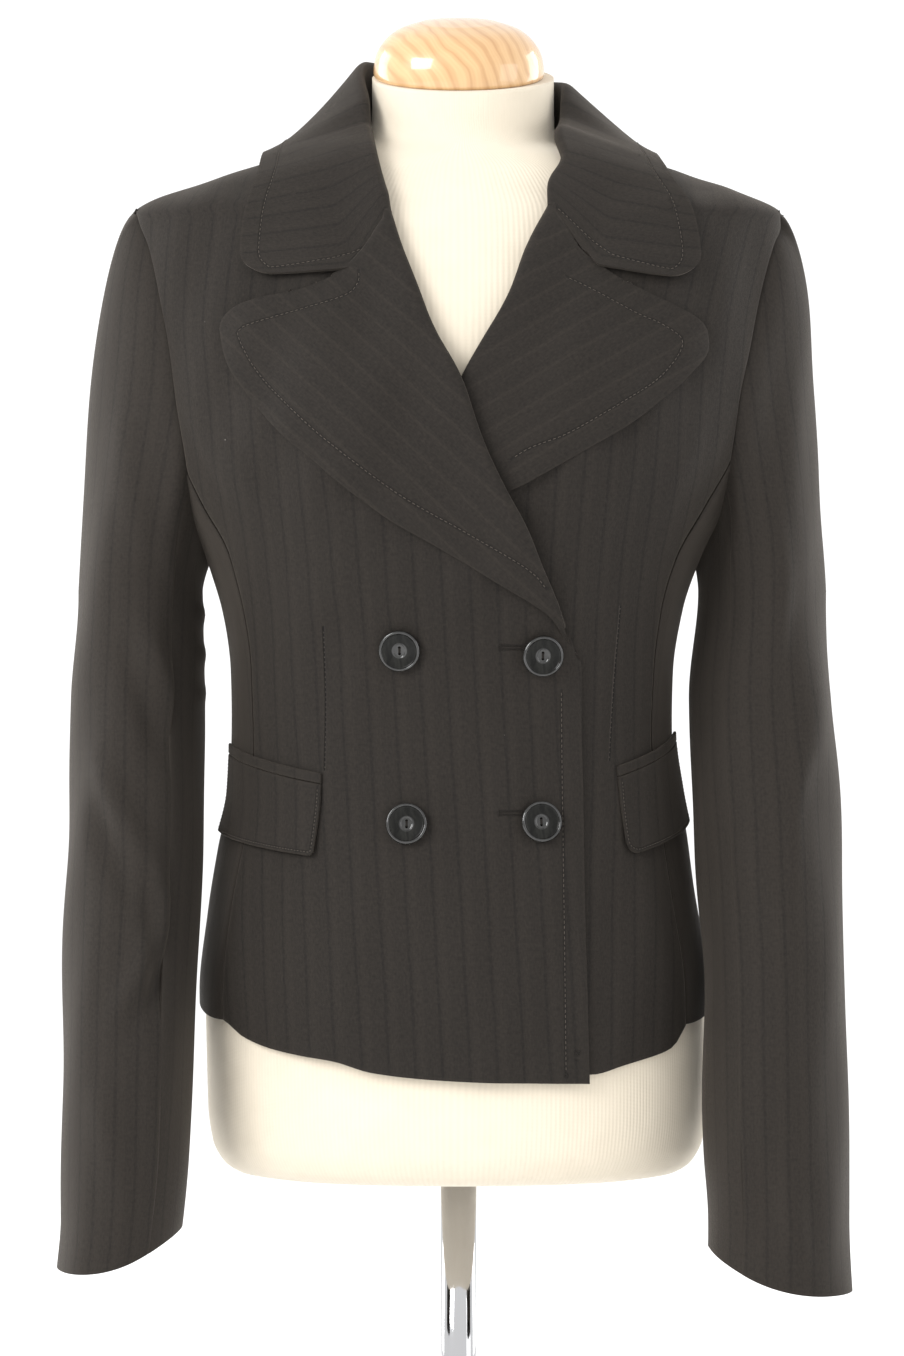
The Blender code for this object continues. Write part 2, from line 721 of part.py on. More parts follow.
def collar_points():
    """Rows along the collar; columns go up the stand, over the roll and down the leaf's underside."""
    share = np.linspace(0, 1, COLLAR_ROWS)
    foot = collar_line(COLLAR_FOOT, share, CLOTH + SEAM)
    top = collar_line(COLLAR_ROLL, share, CLOTH + 2 * SEAM)
    edge = collar_line(COLLAR_EDGE, share, CLOTH + LAYER + COLLAR_STANDS_OFF)
    along_roll = np.gradient(top, axis=0)
    along_roll /= np.linalg.norm(along_roll, axis=1, keepdims=True)
    outside = outward(top[:, 0], top[:, 1], top[:, 2])
    up = np.cross(along_roll, outside)
    up *= np.sign(np.sum(up * (top - edge), axis=1))[:, None]
    up /= np.linalg.norm(up, axis=1, keepdims=True)
    start = top + outside * 2 * COLLAR_ROLL_RADIUS
    down = edge - start
    down /= np.linalg.norm(down, axis=1, keepdims=True)
    handle = ROLL_HANDLE * COLLAR_ROLL_RADIUS

    columns = [foot + (top - foot) * t for t in np.linspace(0, 1, STAND_COLUMNS + 1)]
    for t in (0.3, 0.5, 0.7):
        columns.append(
            top * (1 - t) ** 3
            + (top + up * handle) * 3 * t * (1 - t) ** 2
            + (start - down * handle) * 3 * t * t * (1 - t)
            + start * t**3
        )
    leaf_share = np.linspace(0, 1, LEAF_COLUMNS + 1)
    ends = (
        (collar_end(RIGHT_COLLAR_END, leaf_share), 0, smooth(1 - share / END_FADE)),
        (collar_end(LEFT_COLLAR_END, leaf_share), -1, smooth(1 - (1 - share) / END_FADE)),
    )
    for column, t in enumerate(leaf_share):
        leaf = start + (edge - start) * t
        distance = np.linalg.norm(leaf - start, axis=1)
        room = leaf_gap(distance, ROLL) + LEAF_ROOM * smooth(distance / LEAF_EASE)
        free = above_body(leaf, CLOTH + room)
        leaf = leaf + (free - leaf) * smooth(t / 0.3)
        for end, row, fade in ends:
            leaf = leaf + fade[:, None] * (end[column] - leaf[row])
        columns.append(leaf)
    return np.stack(columns, axis=1)


# Pocket flaps: front end as an angle, back end as an angle, and z along the top and the bottom edge in mm.
FLAPS = {
    "right": {"angles": (31.5, 80.0), "top": (498, 515), "bottom": (456, 468)},
    "left": {"angles": (42.0, 82.0), "top": (502, 522), "bottom": (456, 474)},
}
FLAP_ROWS, FLAP_COLUMNS = 7, 11
FLAP_KICK = 1.2 * MM
WELT_HEIGHT = 6 * MM


def strip(side, low, high, lift, rows):
    """A patch over a front between two heights given at its front and back ends."""
    shape = SIDES[side]
    flap = FLAPS[side]
    share = np.linspace(0, 1, FLAP_COLUMNS)[None, :]
    angle = shape["sign"] * (flap["angles"][0] + (flap["angles"][1] - flap["angles"][0]) * share)
    low = low[0] + (low[1] - low[0]) * share
    high = high[0] + (high[1] - high[0]) * share
    rise = np.linspace(0, 1, rows)[:, None]
    z = low + (high - low) * rise
    angle = angle + 0 * z
    place = at_angle(angle, z, 0.0)
    base = front_height(side, place[..., 0], z)
    return at_angle(angle, z, base + lift + FLAP_KICK * (1 - rise) ** 2 * (rows > 2))


def flap_points(side):
    flap = FLAPS[side]
    low = np.array(flap["bottom"]) * MM
    high = np.array(flap["top"]) * MM
    return strip(side, low, high, LAYER + CLOTH, FLAP_ROWS)


def welt_points(side):
    flap = FLAPS[side]
    low = np.array(flap["top"]) * MM + SEAM
    return strip(side, low, low + WELT_HEIGHT, LAYER + CLOTH, 2)


# Buttons, all on the wearer's right front: x, z in mm.
BUTTONS = {"button_1": (-33, 576), "button_2": (-29, 476), "button_3": (49, 573), "button_4": (48, 477)}
BUTTON_RADIUS = 12 * MM
# The turned section of a button: radius, height over its back, in mm.
BUTTON_PROFILE = (
    (0.0, 2.4),
    (7.6, 2.6),
    (8.8, 3.6),
    (10.4, 4.0),
    (11.6, 3.5),
    (12.0, 2.4),
    (11.2, 1.0),
    (7.0, 0.0),
    (0.0, 0.0),
)
BUTTON_STEPS = 18

# The dress form: z, how far inside the cloth's body surface it lies, its widest half width, in mm.
FORM = (
    (265, 27.0, 160),
    (267, 17.0, 160),
    (273, 9.0, 160),
    (285, 3.5, 160),
    (305, 1.6, 160),
    (373, 1.6, 160),
    (421, 1.6, 160),
    (457, 1.6, 160),
    (493, 1.6, 160),
    (529, 1.6, 160),
    (565, 1.6, 160),
    (601, 1.6, 160),
    (631, 1.6, 141),
    (660, 1.6, 148),
    (695, 1.6, 152),
    (730, 1.6, 155),
    (770, 1.6, 157),
    (810, 1.6, 157),
    (833, 2.0, 153),
    (846, 2.2, 138),
    (858, 2.4, 120),
    (868, 2.6, 100),
    (878, 2.6, 80),
    (888, 2.6, 60),
)
FORM_STEPS = 32
NECK_X = 3.6 * MM
NECK_WIDE = 54.5 * MM
NECK_DEEP = 47.5 * MM
NECK_TOP = 920 * MM
NECK_TILT = math.radians(17.5)
NECK_BOTTOM = 858 * MM
NECK_EASE = 45 * MM
CAP_HEIGHT = 35 * MM
CAP_SHARE = 0.936
CAP_SHIFT = -2.5 * MM
# The cap's section: share of its half width, share of its height.
CAP_PROFILE = ((1.0, 0.0), (1.0, 0.2), (0.965, 0.42), (0.87, 0.64), (0.7, 0.83), (0.45, 0.95), (0.2, 1.0))
POLE_RADIUS = 10.8 * MM
POLE_X = 1 * MM
BASE_RADIUS = 150 * MM
BASE_HEIGHT = 14 * MM
POLE_STEPS, BASE_STEPS = 24, 48


COLOURS = {
    "cloth": ((0.040, 0.034, 0.029), 0.85, 0.0),
    "button": ((0.030, 0.030, 0.032), 0.25, 0.0),
    "jersey": ((0.86, 0.80, 0.68), 0.9, 0.0),
    "wood": ((0.62, 0.36, 0.16), 0.3, 0.0),
    "chrome": ((0.75, 0.75, 0.76), 0.12, 1.0),
}


def material(name, kind):
    """A plain finish for one piece."""
    colour, roughness, metallic = COLOURS[kind]
    finish = bpy.data.materials.new(name)
    finish.use_nodes = True
    shader = finish.node_tree.nodes["Principled BSDF"]
    shader.inputs["Base Color"].default_value = (*colour, 1)
    shader.inputs["Roughness"].default_value = roughness
    shader.inputs["Metallic"].default_value = metallic
    return finish


def add(name, mesh, kind):
    """Puts a mesh in the part's collection as one named piece with its own finish."""
    piece = bpy.data.objects.new(name, mesh)
    mesh.materials.append(material(name, kind))
    bpy.data.collections[NAME].objects.link(piece)
    return piece


def loft(name, points, ring_closed=False):
    """A mesh over rows and columns of points, leaving out what is missing."""
    rows, columns = points.shape[:2]
    there = ~np.isnan(points[..., 0])
    index = np.cumsum(there.ravel()).reshape(rows, columns) - 1
    faces = []
    for row in range(rows - 1):
        for column in range(columns if ring_closed else columns - 1):
            after = (column + 1) % columns
            corners = ((row, column), (row, after), (row + 1, after), (row + 1, column))
            if all(there[corner] for corner in corners):
                faces.append([int(index[corner]) for corner in corners])
    mesh = bpy.data.meshes.new(name)
    mesh.from_pydata(points[there].tolist(), [], faces)
    mesh.shade_smooth()
    return mesh


def cloth(name, points, flip):
    """A sheet of cloth: the points are its outer face, and Solidify adds the wall behind them."""
    mesh = loft(name, points)
    if flip:
        mesh.flip_normals()
    piece = add(name, mesh, "cloth")
    wall = piece.modifiers.new("wall", "SOLIDIFY")
    wall.thickness = CLOTH
    wall.offset = -1
    return piece


def turned(name, profile, steps, kind):
    """A piece turned from a profile of radius and height."""
    mesh = bpy.data.meshes.new(name)
    mesh.from_pydata([(r, 0, z) for r, z in profile], [(i, i + 1) for i in range(len(profile) - 1)], [])
    piece = add(name, mesh, kind)
    screw = piece.modifiers.new("turn", "SCREW")
    screw.steps = screw.render_steps = steps
    screw.use_merge_vertices = True
    screw.merge_threshold = WELD
    return piece


def add_button(name, x, z):
    """A button lying on the top front, square to it."""
    height = CLOTH + lift_over(x, z)
    place = from_front(x, z, height)
    normal = outward(place[0], place[1], place[2])
    profile = [(radius * MM, up * MM) for radius, up in BUTTON_PROFILE]
    piece = turned(name, profile, BUTTON_STEPS, "button")
    piece.location = place + normal * LAYER
    piece.rotation_mode = "QUATERNION"
    piece.rotation_quaternion = Vector(normal).to_track_quat("Z", "Y")


def form_points():
    """Rings of the dress form, from its rounded foot to the tilted top of its neck."""
    heights = np.r_[[row[0] * MM for row in FORM], NECK_BOTTOM + NECK_EASE, NECK_TOP]
    angle = np.linspace(-math.pi, math.pi, FORM_STEPS, endpoint=False)
    sine, cosine = np.sin(angle), np.cos(angle)
    rings = []
    for z in heights:
        inset, widest = read(FORM, z / MM) * MM
        wide, deep = ring(sine, -cosine, z)
        wide = np.minimum(wide - inset, widest)
        deep = deep - inset
        neck = smooth((z - NECK_BOTTOM) / NECK_EASE)
        power = 2 / (ROUNDNESS + (2.0 - ROUNDNESS) * neck)
        x = wide * np.sign(sine) * np.abs(sine) ** power
        y = -deep * np.sign(cosine) * np.abs(cosine) ** power
        x = x + (NECK_X + NECK_WIDE * sine - x) * neck
        y = y + (-NECK_DEEP * cosine - y) * neck
        lean = math.tan(NECK_TILT) * y * (z == NECK_TOP)
        rings.append(np.stack([x, y, z + lean], axis=-1))
    return np.array(rings)


def closed_loft(name, rings, kind):
    """A closed body over rings of points, with its first and last ring filled."""
    mesh = loft(name, rings, ring_closed=True)
    edit = bmesh.new()
    edit.from_mesh(mesh)
    bmesh.ops.holes_fill(edit, edges=[edge for edge in edit.edges if edge.is_boundary], sides=0)
    bmesh.ops.recalc_face_normals(edit, faces=edit.faces)
    edit.to_mesh(mesh)
    edit.free()
    return add(name, mesh, kind)


def cap_points():
    """Rings of the wooden cap: a short straight side and a low dome, leaning with the top of the neck."""
    rings = form_points()[-1]
    middle = rings.mean(axis=0)
    rings = middle + (rings - middle) * CAP_SHARE + [CAP_SHIFT, 0, 0]
    middle = rings.mean(axis=0)
    lean = np.array([0, -math.sin(NECK_TILT), math.cos(NECK_TILT)])
    rows = []
    for reach, rise in CAP_PROFILE:
        rows.append(middle + (rings - middle) * reach + lean * (rise * CAP_HEIGHT + SEAM))
    return np.array(rows)


def main():
    for thing in list(bpy.data.objects):
        bpy.data.objects.remove(thing)
    bpy.context.scene.collection.children.link(bpy.data.collections.new(NAME))

    for side in ("right", "left"):
        right = side == "right"
        cloth(f"front_{side}", front_points(side), flip=not right)
        cloth(f"side_{side}", side_points(side), flip=right)
        cloth(f"back_{side}", back_points(side), flip=right)
        for part, (start, end), columns in SLEEVE_ARCS:
            points = sleeve_points(side, start + SEAM_TURN, end - SEAM_TURN, columns)
            cloth(f"sleeve_{part}_{side}", points, flip=right)
        cloth(f"flap_{side}", flap_points(side), flip=right)
        cloth(f"welt_{side}", welt_points(side), flip=right)
    cloth("collar", collar_points(), flip=False)

    for name, (x, z) in BUTTONS.items():
        add_button(name, x * MM, z * MM)

    closed_loft("form_torso", form_points(), "jersey")
    closed_loft("neck_cap", cap_points(), "wood")
    pole_top = FORM[0][0] * MM - SEAM
    pole_foot = BASE_HEIGHT + SEAM
    pole_profile = [(0, pole_top), (POLE_RADIUS, pole_top), (POLE_RADIUS, pole_foot), (0, pole_foot)]
    base_profile = [
        (0, BASE_HEIGHT),
        (BASE_RADIUS - 5 * MM, BASE_HEIGHT - 2 * MM),
        (BASE_RADIUS, BASE_HEIGHT - 6 * MM),
        (BASE_RADIUS, 0),
        (0, 0),
    ]
    for name, profile, steps in (("pole", pole_profile, POLE_STEPS), ("base", base_profile, BASE_STEPS)):
        turned(name, profile, steps, "chrome").location.x = POLE_X


main()
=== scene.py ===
# %% [markdown]
# # A wool blazer on a dress form
#
# A cropped double-breasted blazer hangs on a limbless dress form with a wooden neck cap, a short
# chrome pole and a round base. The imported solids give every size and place. This script dresses
# them: each cloth panel is made again as a fine sheet on the same surface, then come the stitches,
# the buttonholes, the buttons and the finishes. Lengths in tables are in millimetres.

# %% Load the fixed frame
import math

import bpy
import numpy as np
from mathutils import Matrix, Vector
from mathutils.bvhtree import BVHTree


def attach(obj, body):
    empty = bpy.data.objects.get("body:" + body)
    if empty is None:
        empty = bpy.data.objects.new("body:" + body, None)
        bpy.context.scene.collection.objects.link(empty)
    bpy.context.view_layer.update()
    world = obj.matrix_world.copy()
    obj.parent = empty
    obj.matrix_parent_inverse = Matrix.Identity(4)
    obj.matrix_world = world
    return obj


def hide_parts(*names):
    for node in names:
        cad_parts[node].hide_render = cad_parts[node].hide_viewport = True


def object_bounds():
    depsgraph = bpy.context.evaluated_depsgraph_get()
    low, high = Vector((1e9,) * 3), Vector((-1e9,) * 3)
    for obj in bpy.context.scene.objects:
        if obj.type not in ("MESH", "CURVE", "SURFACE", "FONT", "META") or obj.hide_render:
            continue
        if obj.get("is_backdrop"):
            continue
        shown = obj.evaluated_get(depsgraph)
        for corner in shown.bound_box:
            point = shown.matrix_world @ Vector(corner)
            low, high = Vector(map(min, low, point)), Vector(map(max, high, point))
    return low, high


MM = 0.001
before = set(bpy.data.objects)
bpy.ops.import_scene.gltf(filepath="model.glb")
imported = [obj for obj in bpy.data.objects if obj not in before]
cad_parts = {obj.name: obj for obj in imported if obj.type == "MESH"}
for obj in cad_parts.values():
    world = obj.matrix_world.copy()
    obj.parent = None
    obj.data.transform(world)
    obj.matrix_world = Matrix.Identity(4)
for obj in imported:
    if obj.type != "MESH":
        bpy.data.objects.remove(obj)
cad_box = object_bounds()
scene = bpy.context.scene
print("solids:", len(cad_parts), "height in mm:", round(cad_box[1].z / MM, 1))

# %% [markdown]
# Every lamp and every piece enters the scene in the same way, and every mesh is made from points
# and faces, so small functions do both.

# %% Objects, meshes and their numbers
def new_object(name, data):
    """An object in the scene that holds this mesh, light or lens."""
    made = bpy.data.objects.new(name, data)
    scene.collection.objects.link(made)
    return made


def new_piece(name, points, faces, finish, edges=()):
    """A smooth piece in the scene, from its points and faces."""
    mesh = bpy.data.meshes.new(name)
    mesh.from_pydata(np.asarray(points).reshape(-1, 3).tolist(), edges, faces)
    mesh.shade_smooth()
    mesh.materials.append(finish)
    return new_object(name, mesh)


def numbers_of(items, key, kind, width):
    """What the points, corners or maps of a mesh keep under a key, as rows of so many numbers."""
    numbers = np.zeros(len(items) * width, kind)
    items.foreach_get(key, numbers)
    return numbers.reshape(-1, width)


def keep_numbers(mesh, name, numbers):
    """Keeps one number for each point of a mesh."""
    kept = mesh.attributes.new(name, "FLOAT", "POINT")
    kept.data.foreach_set("value", numbers.astype(np.float32))


def tube_faces(rows, columns):
    """Faces of a tube made of rings of points, closed at both ends."""
    index = np.arange(rows * columns).reshape(rows, columns)
    after = np.roll(index, -1, axis=1)
    faces = np.stack([index[:-1], after[:-1], after[1:], index[1:]], axis=-1).reshape(-1, 4).tolist()
    return faces + [index[0][::-1].tolist(), index[-1].tolist()]


def unit(vectors):
    """Vectors brought to a length of 1."""
    return vectors / np.linalg.norm(vectors, axis=-1, keepdims=True)


print("faces of a cube:", len(tube_faces(2, 4)))

# %% [markdown]
# ## The camera, the floor and the light
#
# The photograph is taken straight on, at the height of the waist, from about two and a half metres.
# The camera's angle follows from one measure: at the pole's distance one pixel of the picture is
# 0.6 mm. The room is a white studio, so the world is white and a wide pale floor runs into it.
# Four large soft lights do the rest: a key light from the viewer's left, a weaker one from the
# right, and one from behind on each side, which give the sleeves their pale edges.

# %% Camera
CAMERA_PLACE = (-0.003, -2.5, 0.56)
PIXEL = 0.6 * MM
HALF_HEIGHT = 678

lens = bpy.data.cameras.new("camera")
lens.sensor_fit = "VERTICAL"
lens.angle = 2 * math.atan(HALF_HEIGHT * PIXEL / -CAMERA_PLACE[1])
camera = new_object("camera", lens)
camera.location = CAMERA_PLACE
camera.rotation_euler = (math.radians(90), 0, 0)
scene.camera = camera
scene.view_settings.view_transform = "Standard"
print("camera's angle in degrees:", round(math.degrees(lens.angle), 2))

# %% Floor and light
WORLD_STRENGTH = 1.15
FLOOR_RADIUS = 14.0
FLOOR_GAP = 0.4 * MM
# Each light: its place, its width and height in metres, its power in watts.
LIGHTS = (
    ("key", (-1.9, -1.7, 1.7), (1.3, 1.3), 62),
    ("fill", (2.3, -1.0, 0.9), (1.2, 1.5), 12),
    ("rim_left", (-1.7, 1.0, 1.0), (0.9, 1.8), 18),
    ("rim_right", (1.7, 0.9, 1.0), (0.9, 1.8), 20),
)
LOOK_AT = Vector((0, 0, 0.6))

world = bpy.data.worlds.new("white studio")
world.use_nodes = True
background = world.node_tree.nodes["Background"].inputs
background["Color"].default_value = (1, 1, 1, 1)
background["Strength"].default_value = WORLD_STRENGTH
scene.world = world
for name, place, (wide, tall), power in LIGHTS:
    light = bpy.data.lights.new(name, "AREA")
    light.shape = "RECTANGLE"
    light.size, light.size_y = wide, tall
    light.energy = power
    lamp = new_object(name, light)
    lamp.location = place
    lamp.rotation_mode = "QUATERNION"
    lamp.rotation_quaternion = (LOOK_AT - lamp.location).to_track_quat("-Z", "Y")
bpy.ops.mesh.primitive_circle_add(vertices=96, radius=FLOOR_RADIUS, fill_type="NGON")
floor = bpy.context.object
floor.name = "floor"
floor.location.z = cad_box[0].z - FLOOR_GAP
floor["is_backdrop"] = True
print("lights:", ", ".join(name for name, *_ in LIGHTS))

# %% [markdown]
# ## Writing shaders as sums
#
# A pattern such as a stripe or a twill is arithmetic on a place on the cloth. The class below wraps
# one output socket, and each operator on it adds a Math node, so a pattern can be written as a
# formula. Every other node comes from one method, which takes the node's type, its settings and
# the values or links of its sockets.

# %% Socket arithmetic and the one method that makes nodes
class Wire:
    """An output socket that can be added, multiplied and so on; each step is a Math node."""

    def __init__(self, finish, socket):
        self.finish = finish
        self.socket = socket

    def maths(self, operation, *values):
        sockets = dict(enumerate(values))
        return self.finish.node("ShaderNodeMath", {"operation": operation}, sockets)

    def __add__(self, other):
        return self.maths("ADD", self, other)

    def __sub__(self, other):
        return self.maths("SUBTRACT", self, other)

    def __rsub__(self, other):
        return self.maths("SUBTRACT", other, self)

    def __mul__(self, other):
        return self.maths("MULTIPLY", self, other)

    def __truediv__(self, other):
        return self.maths("DIVIDE", self, other)

    __radd__ = __add__
    __rmul__ = __mul__

    def power(self, exponent):
        return self.maths("POWER", self, exponent)

    def wave(self, pitch):
        """A sine from -1 to 1 that repeats at this pitch."""
        return self.maths("SINE", self * (2 * math.pi / pitch))

    def size(self):
        return self.maths("ABSOLUTE", self)

    def most(self, other):
        return self.maths("MAXIMUM", self, other)

    def rest_of(self):
        """What is left over whole numbers."""
        return self.maths("FRACT", self)

    def ease(self, low, high):
        """0 at low, 1 at high and an even ease between; high may be the smaller one."""
        sockets = {"Value": self, "From Min": low, "From Max": high}
        if high < low:
            sockets = {"Value": self, "From Min": high, "From Max": low, "To Min": 1.0, "To Max": 0.0}
        return self.finish.node("ShaderNodeMapRange", {"interpolation_type": "SMOOTHSTEP"}, sockets)


class Finish:
    """A material: its Principled shader, and the method that adds every node."""

    def __init__(self, name, values):
        self.material = bpy.data.materials.new(name)
        self.material.use_nodes = True
        self.tree = self.material.node_tree
        self.shader = self.tree.nodes["Principled BSDF"]
        self.give(self.shader, values)

    def give(self, made, sockets):
        for key, value in sockets.items():
            if isinstance(value, Wire):
                self.tree.links.new(value.socket, made.inputs[key])
            else:
                made.inputs[key].default_value = value

    def node(self, kind, settings=None, sockets=None, output=0):
        """A node of a type: its settings first, then the values or links of its sockets."""
        made = self.tree.nodes.new(kind)
        for key, value in (settings or {}).items():
            setattr(made, key, value)
        self.give(made, sockets or {})
        return Wire(self, made.outputs[output])

    def mix(self, factor, first, second):
        """A colour between two others."""
        sockets = {0: factor, 6: first, 7: second}
        return self.node("ShaderNodeMix", {"data_type": "RGBA"}, sockets, output=2)

    def place(self):
        """The place on the piece, in metres."""
        return self.node("ShaderNodeTexCoord", output="Object")

    def number(self, name):
        """A number that a mesh keeps for each point."""
        return self.node("ShaderNodeAttribute", {"attribute_name": name}, output="Fac")

    def parts(self, vector):
        """The three numbers of a vector, as wires."""
        split = self.node("ShaderNodeSeparateXYZ", None, {0: vector})
        made = split.socket.node
        return [Wire(self, socket) for socket in made.outputs]

    def join(self, x, y, z=0.0):
        return self.node("ShaderNodeCombineXYZ", None, {0: x, 1: y, 2: z})

    def noise(self, place, scale, detail=2.0):
        """Soft noise from 0 to 1 over a place."""
        sockets = {"Vector": place, "Scale": scale, "Detail": detail}
        return self.node("ShaderNodeTexNoise", None, sockets)

    def bump(self, height, distance, strength=1.0):
        sockets = {"Height": height, "Distance": distance, "Strength": strength}
        return self.node("ShaderNodeBump", None, sockets)

    def done(self, sockets):
        """The material, with these values or links given to its shader."""
        self.give(self.shader, sockets)
        return self.material


# %% [markdown]
# The floor is nearly white and quite matt, so it runs into the white world without an edge.

# %% Floor finish
FLOOR_DARK, FLOOR_PALE = (0.95, 0.95, 0.95, 1), (0.98, 0.98, 0.98, 1)
pale = Finish("pale floor", {"Roughness": 0.9})
mottle = pale.noise(pale.place(), 3.0)
floor.data.materials.append(pale.done({"Base Color": pale.mix(mottle, FLOOR_DARK, FLOOR_PALE)}))
print("floor finish:", pale.material.name)

# %% [markdown]
# ## Wool cloth
#
# The blazer is cut from a dark brown wool with a shadow stripe: thin threads, a little darker than
# the ground, about 15 mm apart, with a paler band beside each. On the lapels the stripe reads pale.
# Every sheet carries a map called grain, its place on the cut cloth: across the stripes, then along
# them. So the twill and the stripes run with each panel as a cutter laid it. A second map says how
# far away the nearest row of stitches is, where the cloth is pulled in and painted darker as shade.
# The points also keep their distance to the panel's edge, where the cloth is rubbed paler. The side
# panels and sleeves are painted paler than the body, as painted light.

# %% The wool
STRIPE_PITCH = 15.0
STRIPE_WIDTH = 1.3
BAND_PLACE = 4.2
TWILL_PITCH = 0.62
THREAD = 0.36
WOOL_DARK = (0.0076, 0.0060, 0.0046, 1)
WOOL_PALE = (0.0192, 0.0153, 0.0118, 1)
WOOL_SHADOW = (0.0025, 0.0020, 0.0016, 1)
LINT = (0.30, 0.28, 0.25, 1)


def wool(name, pitch=STRIPE_PITCH, line=-0.38, band=0.16, painted_light=0.0):
    """Striped wool; line and band say how much darker or paler its threads are, and the last argument how
    much paler the whole is painted, as painted light on panels that the lamps leave darker.
    """
    values = {
        "Roughness": 0.82,
        "Specular IOR Level": 0.25,
        "Sheen Weight": 0.11,
        "Sheen Roughness": 0.42,
        "Sheen Tint": (0.90, 0.78, 0.66, 1),
    }
    cloth = Finish(name, values)
    across, along, _ = cloth.parts(cloth.node("ShaderNodeUVMap", {"uv_map": "grain"}))
    across = across / MM
    along = along / MM
    wander = cloth.noise(cloth.join(across * 0.02, along * 0.012), 1.0) - 0.5
    phase = ((across + wander * 1.6) / pitch).rest_of()
    from_line = (phase - 0.5).size() * pitch
    from_band = (phase - (0.5 + BAND_PLACE / pitch)).size() * pitch
    broken = cloth.noise(cloth.join(across * 0.8, along * 0.16), 1.0).ease(0.25, 0.6)
    stripe = from_line.ease(STRIPE_WIDTH, 0.25 * STRIPE_WIDTH) * (0.45 + 0.55 * broken)
    glow = from_band.ease(3.4, 0.6)

    fibre = cloth.noise(cloth.join(across / 1.1, along / 2.6), 1.0, 3.0)
    slub = cloth.noise(cloth.join(across / 3.5, along / 1.2), 1.0, 2.0)
    cloud = cloth.noise(cloth.join(across / 70, along / 110), 1.0, 2.0)
    twill = (across + along * 1.1).wave(TWILL_PITCH)
    weft = along.wave(THREAD)
    weave = twill * 0.7 + weft * 0.3

    # Painted light: the last argument makes the whole cloth paler, so the sides and sleeves look more lit
    # than the lamps make them.
    shade = 0.50 + painted_light + (fibre - 0.5) * 1.25 + (slub - 0.5) * 0.75 + (cloud - 0.5) * 0.35
    shade = shade + weave * 0.05 + stripe * line + glow * band
    edge = cloth.number("edge_mm").ease(2.2, 0.4)
    row, sharp, _ = cloth.parts(cloth.node("ShaderNodeUVMap", {"uv_map": "stitches"}))
    furrow_with_painted_shade = row.size().ease(1.3, 0.2) * 0.7 + row.size().ease(0.7, 0.1) * sharp
    shade = shade + edge * 0.24
    colour = cloth.mix(shade.most(0.0), WOOL_DARK, WOOL_PALE)
    # Painted shade: beside a row of stitches, and more along a dart's sharp line, the colour is drawn towards
    # WOOL_SHADOW as well as pressed in by the bump.
    colour = cloth.mix(furrow_with_painted_shade * 0.75, colour, WOOL_SHADOW)

    sockets = {"Vector": cloth.join(across / 26, along / 34), "Scale": 1.0}
    speck = cloth.node("ShaderNodeTexVoronoi", {"feature": "F1"}, sockets)
    fluff = speck.ease(0.016, 0.008) * cloud.ease(0.50, 0.56)
    colour = cloth.mix(fluff * 0.75, colour, LINT)

    height = weave * 0.035 + (fibre - 0.5) * 0.10 - furrow_with_painted_shade * 0.45 - stripe * 0.03
    rough = 0.86 - fibre * 0.10
    return cloth.done({"Base Color": colour, "Roughness": rough, "Normal": cloth.bump(height, MM)})


print("twill pitch in mm:", TWILL_PITCH)

# %% [markdown]
# ## The body surface
#
# A tailor fits a blazer's panels to one body, and this script does the same. The body is a stack of
# rounded rings, with a separate depth to the front and to the back, and a low swelling at the bust.
# A piece of cloth is a patch of that surface, moved out by as many layers as lie under it. The
# tables follow the solids and are read at many more places.

# %% Body rings and panel outlines
CLOTH = 2.0 * MM
LAYER = 0.8 * MM
SEAM = 0.4 * MM
ROLL = 2.0 * MM

# The body under the cloth: z, half width at the wearer's right and left, depth to the front and back, in mm.
RINGS = (
    (265, 149, 150, 110, 100), (320, 151, 151, 114, 104), (373, 152, 149, 114, 104),
    (421, 147, 142, 109, 98), (457, 141, 137, 103, 91), (493, 134, 131, 99, 85),
    (529, 133, 127, 97, 82), (565, 134, 128, 100, 83), (601, 139, 133, 107, 87),
    (631, 148, 143, 114, 91), (660, 164, 161, 119, 94), (695, 182, 181, 122, 97),
    (730, 190, 190, 120, 99), (770, 195, 195, 112, 98), (810, 198, 198, 97, 92),
    (833, 197, 197, 84, 82), (848, 168, 168, 73, 72), (864, 121, 122, 62, 62), (883, 62, 66, 53, 52),
    (905, 55, 62, 50, 50), (940, 54, 61, 49, 50),
)
ROUNDNESS = 2.3
BUST = {"x": 80 * MM, "z": 705 * MM, "wide": 48 * MM, "tall": 52 * MM, "height": 7 * MM}
# The wearer's right front, which laps over. Its edge and then the break line of its lapel: z, x in mm.
RIGHT_EDGE = (
    (327, 76), (409, 74), (489, 73), (536, 72), (562, 72), (576, 70), (590, 64), (605, 57), (628, 47),
    (647, 38), (667, 28), (690, 17), (728, 3), (771, -18), (806, -31), (825, -37),
)
# Its lapel's outline from the break point up to the tip and along to the notch: x, z in mm.
RIGHT_LAPEL = (
    (66, 574), (60, 586), (50, 598), (24, 614), (-10, 634), (-44, 654), (-79, 682), (-107, 707),
    (-129, 736), (-136, 758), (-135, 767), (-127, 774), (-114, 778), (-96, 782), (-77, 787), (-61, 794),
)
# The wearer's left front, which lies under: the same, with the low part of the break line hidden.
LEFT_EDGE = (
    (331, -70), (480, -69), (560, -67), (600, -62), (625, -52), (642, -41), (659, -32), (681, -21),
    (704, -10), (728, 1), (755, 15), (784, 31), (806, 40), (830, 51),
)
LEFT_LAPEL = (
    (-48, 632), (-30, 645), (-6, 654), (30, 667), (51, 678), (93, 702), (122, 724), (134, 736),
    (143, 747), (144, 756), (142, 763), (135, 769), (122, 776), (107, 783), (78, 798),
)
# Where each lapel starts to fold over, and where its roll starts to open.
BREAK_START = {"right": 572 * MM, "left": 628 * MM}
ROLL_OPENS = {"right": 604 * MM, "left": 740 * MM}
